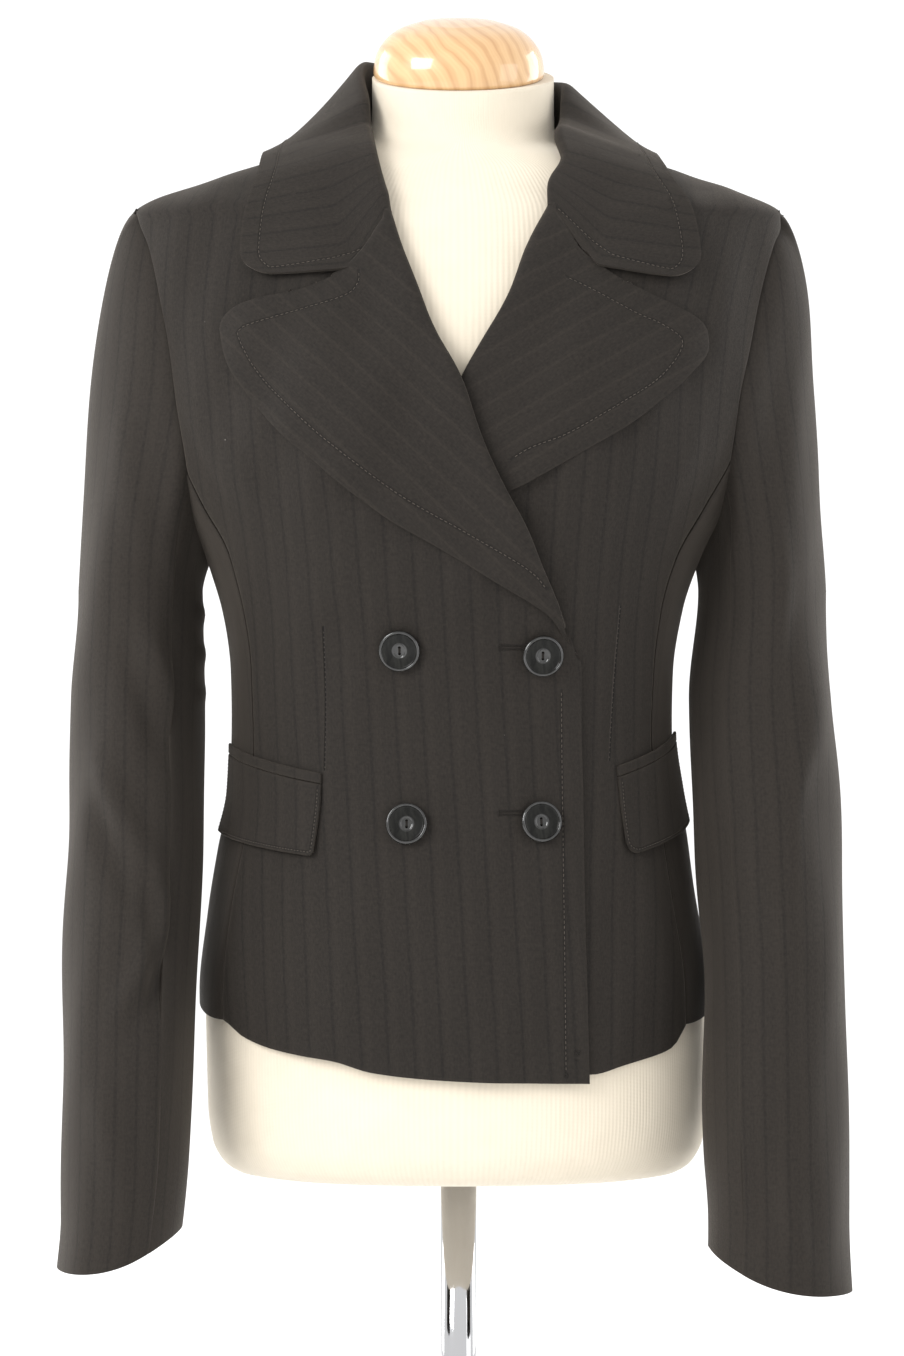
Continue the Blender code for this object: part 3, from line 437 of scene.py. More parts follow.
# The hem of each front: x, z in mm. Where the left front is covered, it is drawn up out of sight.
RIGHT_HEM = (
    (-150, 370), (-143, 364), (-133, 358), (-126, 352), (-109, 346), (-93, 343), (-71, 340), (-50, 334),
    (-26, 331), (4, 329), (76, 327),
)
LEFT_HEM = (
    (-70, 347), (20, 342), (60, 335), (77, 332), (94, 336), (115, 341), (125, 345), (134, 357),
    (143, 365), (150, 370),
)
BACK_HEM = 376 * MM
# The armhole seam seen from the front: z, distance out from the middle at the wearer's right and left, in mm.
ARMHOLE = (
    (631, 148, 143), (645, 152, 149), (660, 155, 155), (693, 159, 160), (723, 164, 164),
    (757, 169, 172), (791, 176, 180), (816, 183, 187), (828, 188, 192), (838, 191, 192),
)
ARMHOLE_MIDDLE = 700 * MM
SIDE_SEAM = 62.0
BACK_SEAM = 180 - SIDE_SEAM
SHOULDER = 800 * MM
# A row ends on the ridge of the shoulder where it reaches this share of the width, and stops short of it.
RIDGE_SHARE = 0.985
RIDGE_GAP = 0.1
# The rows close up towards the shoulder from this share of their number on, over this share.
SHOULDER_ROWS, SHOULDER_EASE = 0.62, 0.22
# How the rows of a front climb: row, z at the side seam, armhole and shoulder, z at the right and the left
# front edge, in mm.
CLIMB = (
    (0, 364, 327, 331), (14, 560, 560, 556), (20, 668, 672, 672), (24, 775, 722, 726),
    (25, 803, 736, 740), (26, 820, 748, 752), (27, 830.5, 760, 764), (28, 836, 772, 776),
    (29, 838, 785, 789), (35, 883, 825, 830),
)
CLIMB_ROWS = CLIMB[-1][0]
print("body rings:", len(RINGS))

# %% Curves through tables
def smooth(value):
    """0 below 0, 1 above 1 and an even ease between."""
    value = np.clip(value, 0.0, 1.0)
    return value * value * (3 - 2 * value)


def read(rows, at):
    """The later columns of a table at values of its first one, on a curve that doesn't overshoot."""
    rows = np.asarray(rows, float)
    at = np.asarray(at, float)
    key, columns = rows[:, 0], rows[:, 1:]
    step = np.diff(key)[:, None]
    slope = np.diff(columns, axis=0) / step
    tangent = np.zeros_like(columns)
    product = slope[1:] * slope[:-1]
    total = slope[1:] + slope[:-1]
    tangent[1:-1] = np.where(product > 0, 2 * product / np.where(total == 0, 1, total), 0)
    tangent[0], tangent[-1] = slope[0], slope[-1]
    low = np.clip(np.searchsorted(key, at, side="right") - 1, 0, len(key) - 2)
    t = np.clip((at - key[low]) / step[low, 0], 0, 1)[..., None]
    width = step[low]
    return (
        columns[low] * (1 + 2 * t) * (1 - t) ** 2
        + columns[low + 1] * t * t * (3 - 2 * t)
        + tangent[low] * width * t * (1 - t) ** 2
        - tangent[low + 1] * width * t * t * (1 - t)
    )


def along(points, share):
    """Points at shares of the length of a smooth curve through the given ones."""
    points = np.asarray(points, float)
    padded = np.vstack([2 * points[0] - points[1], points, 2 * points[-1] - points[-2]])
    fine = []
    for before, start, end, after in zip(padded, padded[1:], padded[2:], padded[3:]):
        t = np.linspace(0, 1, 12, endpoint=False)[:, None]
        fine.append(
            0.5
            * (
                2 * start
                + (end - before) * t
                + (2 * before - 5 * start + 4 * end - after) * t**2
                + (3 * start - before - 3 * end + after) * t**3
            )
        )
    fine = np.vstack(fine + [points[-1:]])
    reach = reach_along(fine, 0)
    return places_at(np.asarray(share) * reach[-1], reach, fine)


def places_at(at, reach, points):
    """Places on a path, where its points lie at these lengths along it."""
    return np.stack([np.interp(at, reach, column) for column in points.T], axis=-1)


def bend(start, leave, arrive, end, t):
    """A point of the curve that leaves its start towards one point and arrives from another."""
    return (
        start * (1 - t) ** 3
        + leave * 3 * t * (1 - t) ** 2
        + arrive * 3 * t * t * (1 - t)
        + end * t**3
    )


def between(grid, rows, columns):
    """What a grid holds at fractions of its rows and columns."""
    i, j = rows.astype(int), columns.astype(int)
    a, b = rows - i, columns - j
    if grid.ndim > 2:
        a, b = a[..., None], b[..., None]
    low = grid[i, j] * (1 - b) + grid[i, j + 1] * b
    high = grid[i + 1, j] * (1 - b) + grid[i + 1, j + 1] * b
    return low * (1 - a) + high * a


def reach_along(points, axis):
    """Length along the rows or columns of a grid, from its first point."""
    step = np.linalg.norm(np.diff(points, axis=axis), axis=-1)
    start = np.zeros_like(step.take([0], axis=axis))
    return np.concatenate([start, np.cumsum(step, axis=axis)], axis=axis)


print("a quarter of the way, eased:", smooth(0.25))


# %% The surface itself
# A place seen from the front is found in so many steps, each of which mends this share of the error.
CORRECTIONS, CORRECTED = 4, 0.8


def ring(x, y, z):
    """Half width and depth of the body at a height, on the side that x and y are on."""
    right, left, front, back = np.moveaxis(read(RINGS, np.asarray(z) / MM) * MM, -1, 0)
    return np.where(x < 0, right, left), np.where(y < 0, front, back)


def outward(x, y, z):
    """The unit normal of the body surface through a point on it."""
    step = 1.5 * MM
    n = ROUNDNESS
    wide, deep = ring(x, y, z)
    wide_above, deep_above = ring(x, y, z + step)
    wide_below, deep_below = ring(x, y, z - step)
    slope_x = np.sign(x) * np.abs(x / wide) ** (n - 1) / wide
    slope_y = np.sign(y) * np.abs(y / deep) ** (n - 1) / deep
    slope_z = -(
        np.abs(x / wide) ** n * (wide_above - wide_below) / wide
        + np.abs(y / deep) ** n * (deep_above - deep_below) / deep
    ) / (2 * step)
    return unit(np.stack([slope_x, slope_y, slope_z], axis=-1))


def bust(x, y, z):
    """How far the cloth stands out over the bust."""
    across = (np.abs(x) - BUST["x"]) / BUST["wide"]
    up = (z - BUST["z"]) / BUST["tall"]
    return np.where(y < 0, BUST["height"] * np.exp(-(across**2) - up**2), 0)


def lifted(x, y, z, lift):
    """A point of the body surface, moved out."""
    out = (lift + bust(x, y, z))[..., None] * outward(x, y, z)
    return np.stack([x, y, z], axis=-1) + out


def at_angle(degrees, z, lift):
    """The surface at an angle round the body, from 0 at the front, and a height."""
    degrees, z, lift = np.broadcast_arrays(np.asarray(degrees, float), z, lift)
    sine, cosine = np.sin(np.radians(degrees)), np.cos(np.radians(degrees))
    wide, deep = ring(sine, -cosine, z)
    x = wide * np.sign(sine) * np.abs(sine) ** (2 / ROUNDNESS)
    y = -deep * np.sign(cosine) * np.abs(cosine) ** (2 / ROUNDNESS)
    return lifted(x, y, z, lift)


def angle_of(x, z):
    """The angle round the body, from 0 to 90, of a place seen from the front."""
    wide, _ = ring(np.asarray(x), -1.0, z)
    return np.degrees(np.arcsin(np.clip(np.abs(x) / wide, 0, 1) ** (ROUNDNESS / 2)))


def from_front(x, z, lift):
    """The surface where it is seen from the front at x and z, moved out without leaving that place."""
    x, z, lift = np.broadcast_arrays(np.asarray(x, float), z, lift)
    base_x, base_z = x, z
    for _ in range(CORRECTIONS):
        wide, deep = ring(base_x, -1.0, base_z)
        share = np.clip(np.abs(base_x) / wide, 0, 1)
        y = -deep * (1 - share**ROUNDNESS) ** (1 / ROUNDNESS)
        point = lifted(base_x, y, base_z, lift)
        base_x = base_x + CORRECTED * (x - point[..., 0])
        base_z = base_z + CORRECTED * (z - point[..., 2])
    return point


print("bust stands out by", round(float(bust(0.08, -1.0, 0.705)) / MM, 1), "mm")

# %% [markdown]
# ## Fronts and lapels
#
# Each front is one sheet that starts at its side seam, armhole and shoulder, runs to the middle,
# turns over a soft roll and comes back as the lapel. It is a grid: the rows climb from the hem to
# the neck, the columns run across the body, round the roll and out over the lapel. The right front
# laps over the left one, so it is lifted by the layers under it.

# %% Both fronts
SIDES = {
    "right": {"sign": -1, "column": 0, "edge": RIGHT_EDGE, "lapel": RIGHT_LAPEL, "hem": RIGHT_HEM},
    "left": {"sign": 1, "column": 1, "edge": LEFT_EDGE, "lapel": LEFT_LAPEL, "hem": LEFT_HEM},
}
NECK_DIP = 6.5 * MM
LEAF_EASE = 35 * MM
# The hem's curve fades out over this share of a front's rows.
HEM_FADE = 0.35
# Where the under front and the hidden end of its lapel lift the top front: start in x, foot and top in z,
# and the length over which each begins or ends, in mm.
UNDER_FRONT = {"start": -112, "start_ease": 30, "top": 735, "top_ease": 40}
UNDER_LAPEL = {"start": -92, "start_ease": 26, "foot": 585, "foot_ease": 24, "top": 735, "top_ease": 30}
# A lapel's roll is this share of its full radius where it is pressed flat, and opens over this height.
FLAT_ROLL = 0.25
ROLL_EASE = 60 * MM
# The widths that set how close the columns beside a seam are: of a front or back, and the least of a lapel.
BODY_WIDTH, LEAST_LAPEL = 200 * MM, 12 * MM
# How finely a front is sampled: rows, then columns over the body, the roll and the lapel.
FINE_ROWS, BODY_COLUMNS, ROLL_COLUMNS, LAPEL_COLUMNS = 196, 62, 9, 44
# A lapel's foot rises out of the front edge over this height, from this depth.
FOOT_SINK, FOOT_EASE = 2.9 * MM, 16 * MM
# The last row runs on under the collar by these distances, so that the gorge seam is closed.
GORGE_STEPS = (0.8 * MM, 1.5 * MM, 2.1 * MM)
ROLL_FURTHER = 2.2
# Columns close up towards a seam: the first ones lie at these distances from it.
SEAM_STEPS = (0.0, 0.7 * MM, 1.6 * MM, 3.0 * MM)


def lift_over(x, z):
    """How far the top front is lifted by the under front and by the hidden end of its lapel."""
    x, z = x / MM, z / MM
    layers = 0
    for under in (UNDER_FRONT, UNDER_LAPEL):
        layer = smooth((x - under["start"]) / under["start_ease"])
        layer = layer * (1 - smooth((z - under["top"]) / under["top_ease"]))
        if "foot" in under:
            layer = layer * smooth((z - under["foot"]) / under["foot_ease"])
        layers = layers + layer
    return (CLOTH + LAYER) * layers


def front_height(side, x, z):
    """The lift of a front's outer face."""
    return CLOTH + (lift_over(x, z) if side == "right" else 0 * x)


def roll_radius(side, z):
    """The inner radius of a lapel's roll, which opens from a flat fold."""
    free = smooth((z - ROLL_OPENS[side]) / ROLL_EASE)
    return ROLL * (FLAT_ROLL + (1 - FLAT_ROLL) * free)


def leaf_gap(distance, radius):
    """The gap under a lapel or collar at a distance from its roll."""
    return LAYER + np.maximum(2 * radius - LAYER, 0) * (1 - smooth(distance / LEAF_EASE))


def armhole_out(side, z):
    """Distance out from the middle of the armhole seam at a height."""
    return read(ARMHOLE, z / MM)[..., SIDES[side]["column"]] * MM


def seam_line(side, z):
    """Distance out from the middle of a front's outer boundary: side seam, armhole, then shoulder."""
    wide, _ = ring(SIDES[side]["sign"] * 1.0, -1.0, z)
    seam = wide * math.sin(math.radians(SIDE_SEAM)) ** (2 / ROUNDNESS)
    arm = armhole_out(side, z)
    above = np.where(z > ARMHOLE[-3][0] * MM, np.minimum(arm, wide), arm)
    above = np.where(z > ARMHOLE[-1][0] * MM, wide, above)
    below = np.minimum(seam, np.where(arm > wide, seam, arm))
    return np.where(z < ARMHOLE_MIDDLE, below, above)


def shares(count, width, both=False):
    """Shares of a row, from 0 to 1, with closer columns beside its seams."""
    near = np.array(SEAM_STEPS) / width
    far = 1 - near[::-1] if both else np.array([1.0])
    middle = np.linspace(near[-1], far[0], count - len(near) - len(far) + 2)[1:-1]
    return np.concatenate([near, middle, far])


def front_points(side):
    """A front's outer face with its lapel's underside; points that don't exist are NaN."""
    shape = SIDES[side]
    sign = shape["sign"]
    row_at = np.linspace(0, CLIMB_ROWS, FINE_ROWS)
    climb = row_at / CLIMB_ROWS
    z_side, *z_edges = read(CLIMB, row_at).T * MM
    z_edge = z_edges[shape["column"]]
    x_edge = read(shape["edge"], z_edge / MM)[:, 0] * MM
    fold = z_edge > BREAK_START[side]
    rise = unit(np.stack([np.gradient(x_edge), np.gradient(z_edge)], axis=-1))
    away = -sign * np.stack([rise[:, 1], -rise[:, 0]], axis=-1)
    inset = (roll_radius(side, z_edge) + CLOTH) * fold
    x_edge = x_edge - away[:, 0] * inset
    z_edge = z_edge - away[:, 1] * inset

    spread = 1 + smooth((climb - SHOULDER_ROWS) / SHOULDER_EASE)
    share = shares(BODY_COLUMNS, BODY_WIDTH)[None, :] ** spread[:, None]
    x_side = sign * seam_line(side, z_side)
    x = x_side[:, None] + (x_edge - x_side)[:, None] * share
    z = z_side[:, None] + (z_edge - z_side)[:, None] * share
    hem = read(shape["hem"], x / MM)[..., 0] * MM
    z = z + smooth(1 - climb / HEM_FADE)[:, None] * (hem - z[0])
    x_seam = sign * seam_line(side, z[:, 0])
    x = x_seam[:, None] + (x_edge - x_seam)[:, None] * share
    dip = smooth(row_at - (CLIMB_ROWS - 1))
    z = z - NECK_DIP * dip[:, None] * np.sin(math.pi * share)
    body = from_front(x, z, front_height(side, x, z))
    wide, _ = ring(sign * 1.0, -1.0, z_side)
    on_ridge = (np.abs(x_side) > RIDGE_SHARE * wide) & (z_side > SHOULDER)
    ridge = at_angle(sign * (90 - RIDGE_GAP), z_side, front_height(side, x_side, z_side))
    body[on_ridge, 0] = ridge[on_ridge]

    points = np.full((FINE_ROWS, BODY_COLUMNS + ROLL_COLUMNS + LAPEL_COLUMNS, 3), np.nan)
    points[:, :BODY_COLUMNS] = body
    lap = np.flatnonzero(fold)
    places = np.stack([x_edge, z_edge], axis=-1)
    reach = reach_along(places[lap], 0)
    tips = along(shape["lapel"], reach / reach[-1]) * MM
    for row, tip in zip(lap, tips):
        turned_over = lapel_row(side, body[row, -1], places[row], away[row], tip)
        sink = FOOT_SINK * (1 - smooth((z_edge[row] - BREAK_START[side]) / FOOT_EASE))
        points[row, BODY_COLUMNS:] = turned_over - outward(*body[row, -1]) * sink
    onward = unit(points[-1] - points[-3])
    further = np.ones((points.shape[1], 1))
    further[BODY_COLUMNS : BODY_COLUMNS + ROLL_COLUMNS] = ROLL_FURTHER
    more = [points[-1] + onward * further * reach for reach in GORGE_STEPS]
    return np.concatenate([points, more])


def lapel_row(side, edge, place, away, tip):
    """One row of points round the roll and out to the lapel's edge."""
    radius = roll_radius(side, place[1])
    normal = outward(*edge)
    step = place + away * MM
    beyond = from_front(step[0], step[1], front_height(side, *place))
    out = beyond - edge
    out -= normal * out.dot(normal)
    out /= np.linalg.norm(out)
    turn = math.pi * np.arange(1, ROLL_COLUMNS + 1)[:, None] / ROLL_COLUMNS
    roll = edge + normal * radius + radius * (out * np.sin(turn) - normal * np.cos(turn))
    width = math.dist(tip, place)
    share = 1 - shares(LAPEL_COLUMNS, max(width, LEAST_LAPEL))[::-1]
    share = (share - share[0] + 1 / LAPEL_COLUMNS) / (1 - share[0] + 1 / LAPEL_COLUMNS)
    x, z = (place + (tip - place) * share[:, None]).T
    leaf = from_front(x, z, front_height(side, x, z) + leaf_gap(share * width, radius))
    return np.vstack([roll, leaf])


fronts = {side: front_points(side) for side in SIDES}
print("points in a front:", fronts["right"][..., 0].size)

# %% [markdown]
# ## Side panels and backs
#
# A side panel runs from the front's side seam to the back's, up to the armhole. The back is cut in
# two halves that meet in a seam down the middle. Both are patches of the same surface, so the four
# seams close by themselves.

# %% Side panels and backs
# How the rows of a back climb: row, z at its side seam, armhole and shoulder, z at the middle, in mm.
BACK_CLIMB = (
    (0, 376, 376), (8, 560, 560), (13, 668, 680), (16, 775, 750), (17, 803, 770), (18, 820, 785),
    (19, 830.5, 797), (20, 836, 808), (21, 838, 819), (25, 883, 884),
)
BACK_ROWS = BACK_CLIMB[-1][0]
SIDE_FOOT = 360 * MM
# Neighbouring panels overlap by this many degrees, so that a turned-in seam has no open slit.
SEAM_ANGLE, MIDDLE_ANGLE = -1.2, -0.25
SIDE_GRID, BACK_GRID = (120, 44), (176, 68)
SIDE_WIDTH = 100 * MM


def armhole_angle(side, z):
    """The angle round the body at which the armhole seam passes a height, in front."""
    return angle_of(SIDES[side]["sign"] * armhole_out(side, z), z)


def armhole_floor(side, degrees):
    """The height of the low part of the armhole seam at an angle round the body."""
    z = np.linspace(ARMHOLE[0][0] * MM, ARMHOLE_MIDDLE, 60)
    angle = armhole_angle(side, z)
    low = np.argmin(angle)
    return np.interp(np.minimum(degrees, 180 - degrees), angle[low::-1], z[low::-1])


def side_points(side):
    """A side panel's outer face, from the front's seam to the back's."""
    shape = SIDES[side]
    rows, columns = SIDE_GRID
    turn = shares(columns, SIDE_WIDTH, both=True)
    angle = SIDE_SEAM + SEAM_ANGLE + (BACK_SEAM - SIDE_SEAM - 2 * SEAM_ANGLE) * turn
    seam_x = shape["sign"] * seam_line(side, np.array(SIDE_FOOT))
    front_hem = float(read(shape["hem"], seam_x / MM)[0]) * MM
    low = front_hem + (BACK_HEM - front_hem) * smooth(turn)
    high = armhole_floor(side, angle)
    rise = np.linspace(0, 1, rows)[:, None]
    z = low + (high - low) * rise
    return at_angle(shape["sign"] * angle + 0 * z, z, CLOTH)


def back_points(side):
    """Half a back's outer face, from its side seam to the middle."""
    shape = SIDES[side]
    row_at = np.linspace(0, BACK_ROWS, BACK_GRID[0])
    climb = row_at / BACK_ROWS
    z_side, z_middle = read(BACK_CLIMB, row_at).T * MM
    wide, _ = ring(shape["sign"] * 1.0, 1.0, z_side)
    x_side = shape["sign"] * seam_line(side, z_side)
    on_ridge = (np.abs(x_side) > RIDGE_SHARE * wide) & (z_side > SHOULDER)
    outer = 180 - angle_of(x_side, z_side)
    outer = np.where(on_ridge, 90 + RIDGE_GAP, outer)
    high = smooth((climb - SHOULDER_ROWS) / SHOULDER_EASE)[:, None]
    share = shares(BACK_GRID[1], BODY_WIDTH, both=True)[None, :] ** (1 + 0.5 * high)
    angle = outer[:, None] + (180 - MIDDLE_ANGLE - outer)[:, None] * share
    z = z_side[:, None] + (z_middle - z_side)[:, None] * share ** (1 + high)
    return at_angle(shape["sign"] * angle, z, CLOTH)


sides = {side: side_points(side) for side in SIDES}
backs = {side: back_points(side) for side in SIDES}
print("points in half a back:", backs["right"][..., 0].size)

# %% [markdown]
# ## Sleeves
#
# A tailored sleeve has two pieces, an upper and an under one, whose seams run down the front and
# the back of the arm. Its head is fuller than the armhole, so it leaves the seam outwards and then
# turns down. Each sleeve is lofted from the armhole's loop to a stack of ovals that lean forward to
# the cuff.

# %% Sleeves
# The sleeves below the armhole: z, inner edge, outer edge, how far forward the middle is, half depth, in mm.
SLEEVE_SHAPES = {
    "right": (
        (212, 164, 233, 80, 44), (247, 159, 230, 77, 46), (283, 156, 230, 73, 48), (371, 153, 231, 60, 52),
        (457, 150, 230, 38, 54), (547, 151, 230, 11, 56), (612, 152, 227, 2, 58), (660, 152, 227, 2, 58),
    ),
    "left": (
        (200, 144, 230, 84, 44), (247, 145, 228, 79, 46), (283, 144, 228, 74, 48), (371, 144, 227, 61, 52),
        (457, 141, 227, 40, 54), (547, 138, 224, 11, 56), (612, 145, 220, 2, 58), (660, 145, 220, 2, 58),
    ),
}
CUFF = {"right": {"inner": 241, "outer": 218}, "left": {"inner": 230, "outer": 206}}
CUFF_LEVEL = 2.6
SLEEVE_TOP = 612 * MM
# Each sleeve's two pieces: name, turns of its two seams, columns.
SLEEVE_ARCS = (("upper", (-40.0, 125.0), 66), ("under", (125.0, 320.0), 70))
SEAM_TURN = -0.9
HEAD_ROWS, ARM_ROWS, SLEEVE_WIDTH = 52, 128, 110 * MM
# The head is tucked this far under the body's edge, outwards and down.
TUCK_IN, TUCK_UNDER = 2.6 * MM, 0.25 * MM
HEAD_FORWARD = 4
HEAD_DOWN, HEAD_DOWN_MORE = 4, 14
HEAD_TURN, HEAD_TURN_MORE, HEAD_TURN_POWER = 4, 142, 1.6
# The head leaves the seam outwards, and comes down on to the arm leaning in, by so much at its top.
HEAD_OUT, HEAD_OUT_MORE, HEAD_LEAN = 2, 20, 9


def armhole_loop(side, turn):
    """Points under the armhole's edge: turn is 0 at the shoulder, 90 in front, 180 in the armpit."""
    shape = SIDES[side]
    tip = ARMHOLE[-1][0] * MM
    low = ARMHOLE[0][0] * MM
    turn = np.radians(turn)
    z = (tip + low) / 2 + (tip - low) / 2 * np.cos(turn)
    front = np.sin(turn) > 0
    x = shape["sign"] * armhole_out(side, z)
    wide, deep = ring(x, np.where(front, -1.0, 1.0), z)
    share = np.clip(np.abs(x) / wide, 0, 1)
    y = np.where(front, -1, 1) * deep * (1 - share**ROUNDNESS) ** (1 / ROUNDNESS)
    point = lifted(x, y, z, CLOTH - TUCK_UNDER + 0 * z)
    point[..., 0] -= shape["sign"] * TUCK_IN
    return point


def sleeve_section(side, z):
    """A sleeve's inner edge, outer edge, how far forward its middle is and its half depth."""
    return np.moveaxis(read(SLEEVE_SHAPES[side], z / MM) * MM, -1, 0)


def sleeve_ring(side, turn, z):
    """Points of a sleeve's oval: turn is 0 at its outer edge and 90 in front."""
    inner, outer, forward, deep = sleeve_section(side, z)
    turn = np.radians(turn)
    x = SIDES[side]["sign"] * ((inner + outer) / 2 + (outer - inner) / 2 * np.cos(turn))
    return np.stack([x, -forward - deep * np.sin(turn), z], axis=-1)


def sleeve_points(side, start, end, columns):
    """Rows of an arc of the sleeve, from the armhole down to the cuff."""
    shape = SIDES[side]
    turn = start + (end - start) * shares(columns, SLEEVE_WIDTH, both=True)
    cosine = np.cos(np.radians(turn))
    top = armhole_loop(side, turn)
    ring_below = sleeve_ring(side, turn, np.full(columns, SLEEVE_TOP))
    high = (1 + cosine) / 2
    out = shape["sign"] * (HEAD_OUT + HEAD_OUT_MORE * high) * MM
    down = (HEAD_DOWN + HEAD_DOWN_MORE * (1 - cosine**2)) * MM
    leave = np.stack([out, -HEAD_FORWARD * np.sin(np.radians(turn)) * MM, -down], axis=-1)
    turn_down = (HEAD_TURN + HEAD_TURN_MORE * high**HEAD_TURN_POWER) * MM
    arrive = np.stack([-shape["sign"] * HEAD_LEAN * high**2 * MM, 0 * high, turn_down], axis=-1)
    rows = []
    for t in np.linspace(0, 1, HEAD_ROWS):
        rows.append(bend(top, top + leave, ring_below + arrive, ring_below, t))
    cuff = CUFF[side]
    hem = (cuff["outer"] + (cuff["inner"] - cuff["outer"]) * (1 - high) ** CUFF_LEVEL) * MM
    for t in np.linspace(0, 1, ARM_ROWS)[1:]:
        rows.append(sleeve_ring(side, turn, SLEEVE_TOP + (hem - SLEEVE_TOP) * t))
    return np.array(rows)


sleeves = {}
for side in SIDES:
    for part, (start, end), columns in SLEEVE_ARCS:
        arc = sleeve_points(side, start + SEAM_TURN, end - SEAM_TURN, columns)
        sleeves[f"sleeve_{part}_{side}"] = arc
print("sleeve pieces:", ", ".join(sleeves))

# %% [markdown]
# ## Collar
#
# The collar stands up round the back of the neck, rolls over and lies on the shoulders. Three lines
# describe it: its foot, the top of its roll and its free edge. Across them it is a short stand, a
# half turn and a leaf. At each end the leaf lies beside the lapel, along the gorge seam, and then
# leaves it at the notch.

# %% The collar
# The collar, from the wearer's right round the back to the left: share of the way, angle, z in mm.
COLLAR_ROLL = (
    (0.00, -9.0, 827.3), (0.06, -12.0, 844), (0.12, -20.6, 863), (0.18, -54.0, 883), (0.22, -67.0, 901),
    (0.27, -90.0, 919), (0.32, -112.0, 929), (0.38, -135.0, 930), (0.50, -180.0, 926),
    (0.62, -225.0, 920), (0.73, -270.0, 912), (0.77, -281.0, 903), (0.81, -290.0, 890),
    (0.845, -314.0, 876), (0.88, -334.0, 861), (0.94, -343.8, 845), (1.00, -346.3, 831.5),
)
COLLAR_EDGE = (
    (0.00, -31.0, 797), (0.03, -32.8, 807), (0.08, -34.0, 829), (0.14, -42.0, 850), (0.20, -66.0, 864),
    (0.27, -98.0, 868), (0.38, -140.0, 862), (0.50, -180.0, 858), (0.62, -220.0, 861),
    (0.73, -262.0, 866), (0.80, -294.0, 863), (0.86, -314.0, 850), (0.92, -320.6, 827),
    (0.97, -321.6, 806), (1.00, -324.5, 793),
)
COLLAR_FOOT = (
    (0.00, -9.4, 825.5), (0.06, -12.4, 841), (0.12, -19.8, 857), (0.18, -47.0, 874), (0.22, -64.0, 883),
    (0.27, -90.0, 886), (0.38, -135.0, 887), (0.50, -180.0, 888), (0.62, -225.0, 887),
    (0.73, -270.0, 886), (0.77, -288.0, 883), (0.81, -303.0, 876), (0.845, -318.0, 868),
    (0.88, -334.5, 859), (0.94, -344.2, 843), (1.00, -346.5, 830.3),
)
# Near its ends the roll is slimmer by this share and drawn in by this much, to meet the lapel's roll.
END_SLIM, END_DRAWN, END_EASE = 0.35, 1.3 * MM, 16 * MM
# The collar's two ends: x, z in mm from the roll down the gorge seam, then along the free edge.
RIGHT_COLLAR_END = (
    (-41, 828), (-49.5, 813), (-57, 799.5), (-61, 795.5), (-68, 794.3), (-88, 793), (-104, 792.5),
    (-121, 793),
)
LEFT_COLLAR_END = (
    (54.5, 832.5), (66, 817), (76.5, 802), (81, 797.5), (88, 796), (105, 793.5), (119, 792),
    (134, 791.5),
)
# The radius of the leaf's outer corner at its right and left end.
COLLAR_CORNERS = (15 * MM, 12 * MM)
COLLAR_ROWS, STAND_COLUMNS, TURN_COLUMNS, LEAF_COLUMNS = 300, 9, 12, 34
COLLAR_ROLL_RADIUS = 2.2 * MM
COLLAR_STANDS_OFF = 3.5 * MM
END_FADE = 0.13
# Past the gorge seam, at this distance from the roll, a collar's end starts to stand off, over this length.
GORGE, NOTCH_EASE = 34 * MM, 20 * MM
# The leaf lies on the cloth up to this height, and eases off it over this length.
NECK_FREE, NECK_FREE_EASE = 900 * MM, 30 * MM
LEAF_ROOM = 2 * MM
# The push that keeps it off the cloth sets in softly over this height, and over this share of the leaf.
PUSH_EASE, PUSH_SHARE = 1.5 * MM, 0.3
# The collar's length and the leaf's width, as far as they set the spacing of its points.
COLLAR_LENGTH, LEAF_WIDTH = 480 * MM, 50 * MM
# A curve's handles, as a share of the roll's radius, for a half turn.
ROLL_HANDLE = 1.33


def collar_line(table, share, lift):
    """A smooth line round the neck through a table's places on the body surface."""
    places = np.array([at_angle(angle, z * MM, lift) for _, angle, z in table])
    keys = np.array([[row[0]] for row in table])
    return read(np.hstack([keys, places]), share)


def above_body(point, least):
    """A point, pushed out to stand at least this far off the cloth's body surface."""
    x, y, z = np.moveaxis(point, -1, 0)
    wide, deep = ring(x, y, z)
    level = (np.abs(x / wide) ** ROUNDNESS + np.abs(y / deep) ** ROUNDNESS) ** (1 / ROUNDNESS)
    x, y = x / level, y / level
    normal = outward(x, y, z)
    height = np.sum((point - np.stack([x, y, z], axis=-1)) * normal, axis=-1) - bust(x, y, z)
    short = least - height
    push = 0.5 * (short + np.sqrt(short**2 + PUSH_EASE**2))
    push = push * smooth((NECK_FREE - z) / NECK_FREE_EASE)
    return point + push[..., None] * normal


def corner_cut(distance, radius):
    """How far a round corner draws an edge in, at a distance from where it would end."""
    short = np.clip(1 - distance / radius, 0, 0.999)
    return radius * (1 - np.sqrt(1 - short**2))


def collar_end(outline, share):
    """The collar's end edge: along the gorge as high as the lapel, then standing a little off."""
    place = along(outline, share) * MM
    x, z = place[:, 0], place[:, 1]
    distance = np.hypot(x - x[0], z - z[0])
    past_notch = smooth((distance - GORGE) / NOTCH_EASE)
    lift = CLOTH + leaf_gap(distance, ROLL) + COLLAR_STANDS_OFF * past_notch
    return from_front(x, z, lift)


def cut_back(leaves, cut):
    """Leaf columns drawn in along each row, so that its last point comes this much nearer."""
    reach = reach_along(leaves, 0)
    for row in np.flatnonzero(cut > 0):
        kept = reach[:, row] * (1 - cut[row] / reach[-1, row])
        leaves[:, row] = places_at(kept, reach[:, row], leaves[:, row])
    return leaves


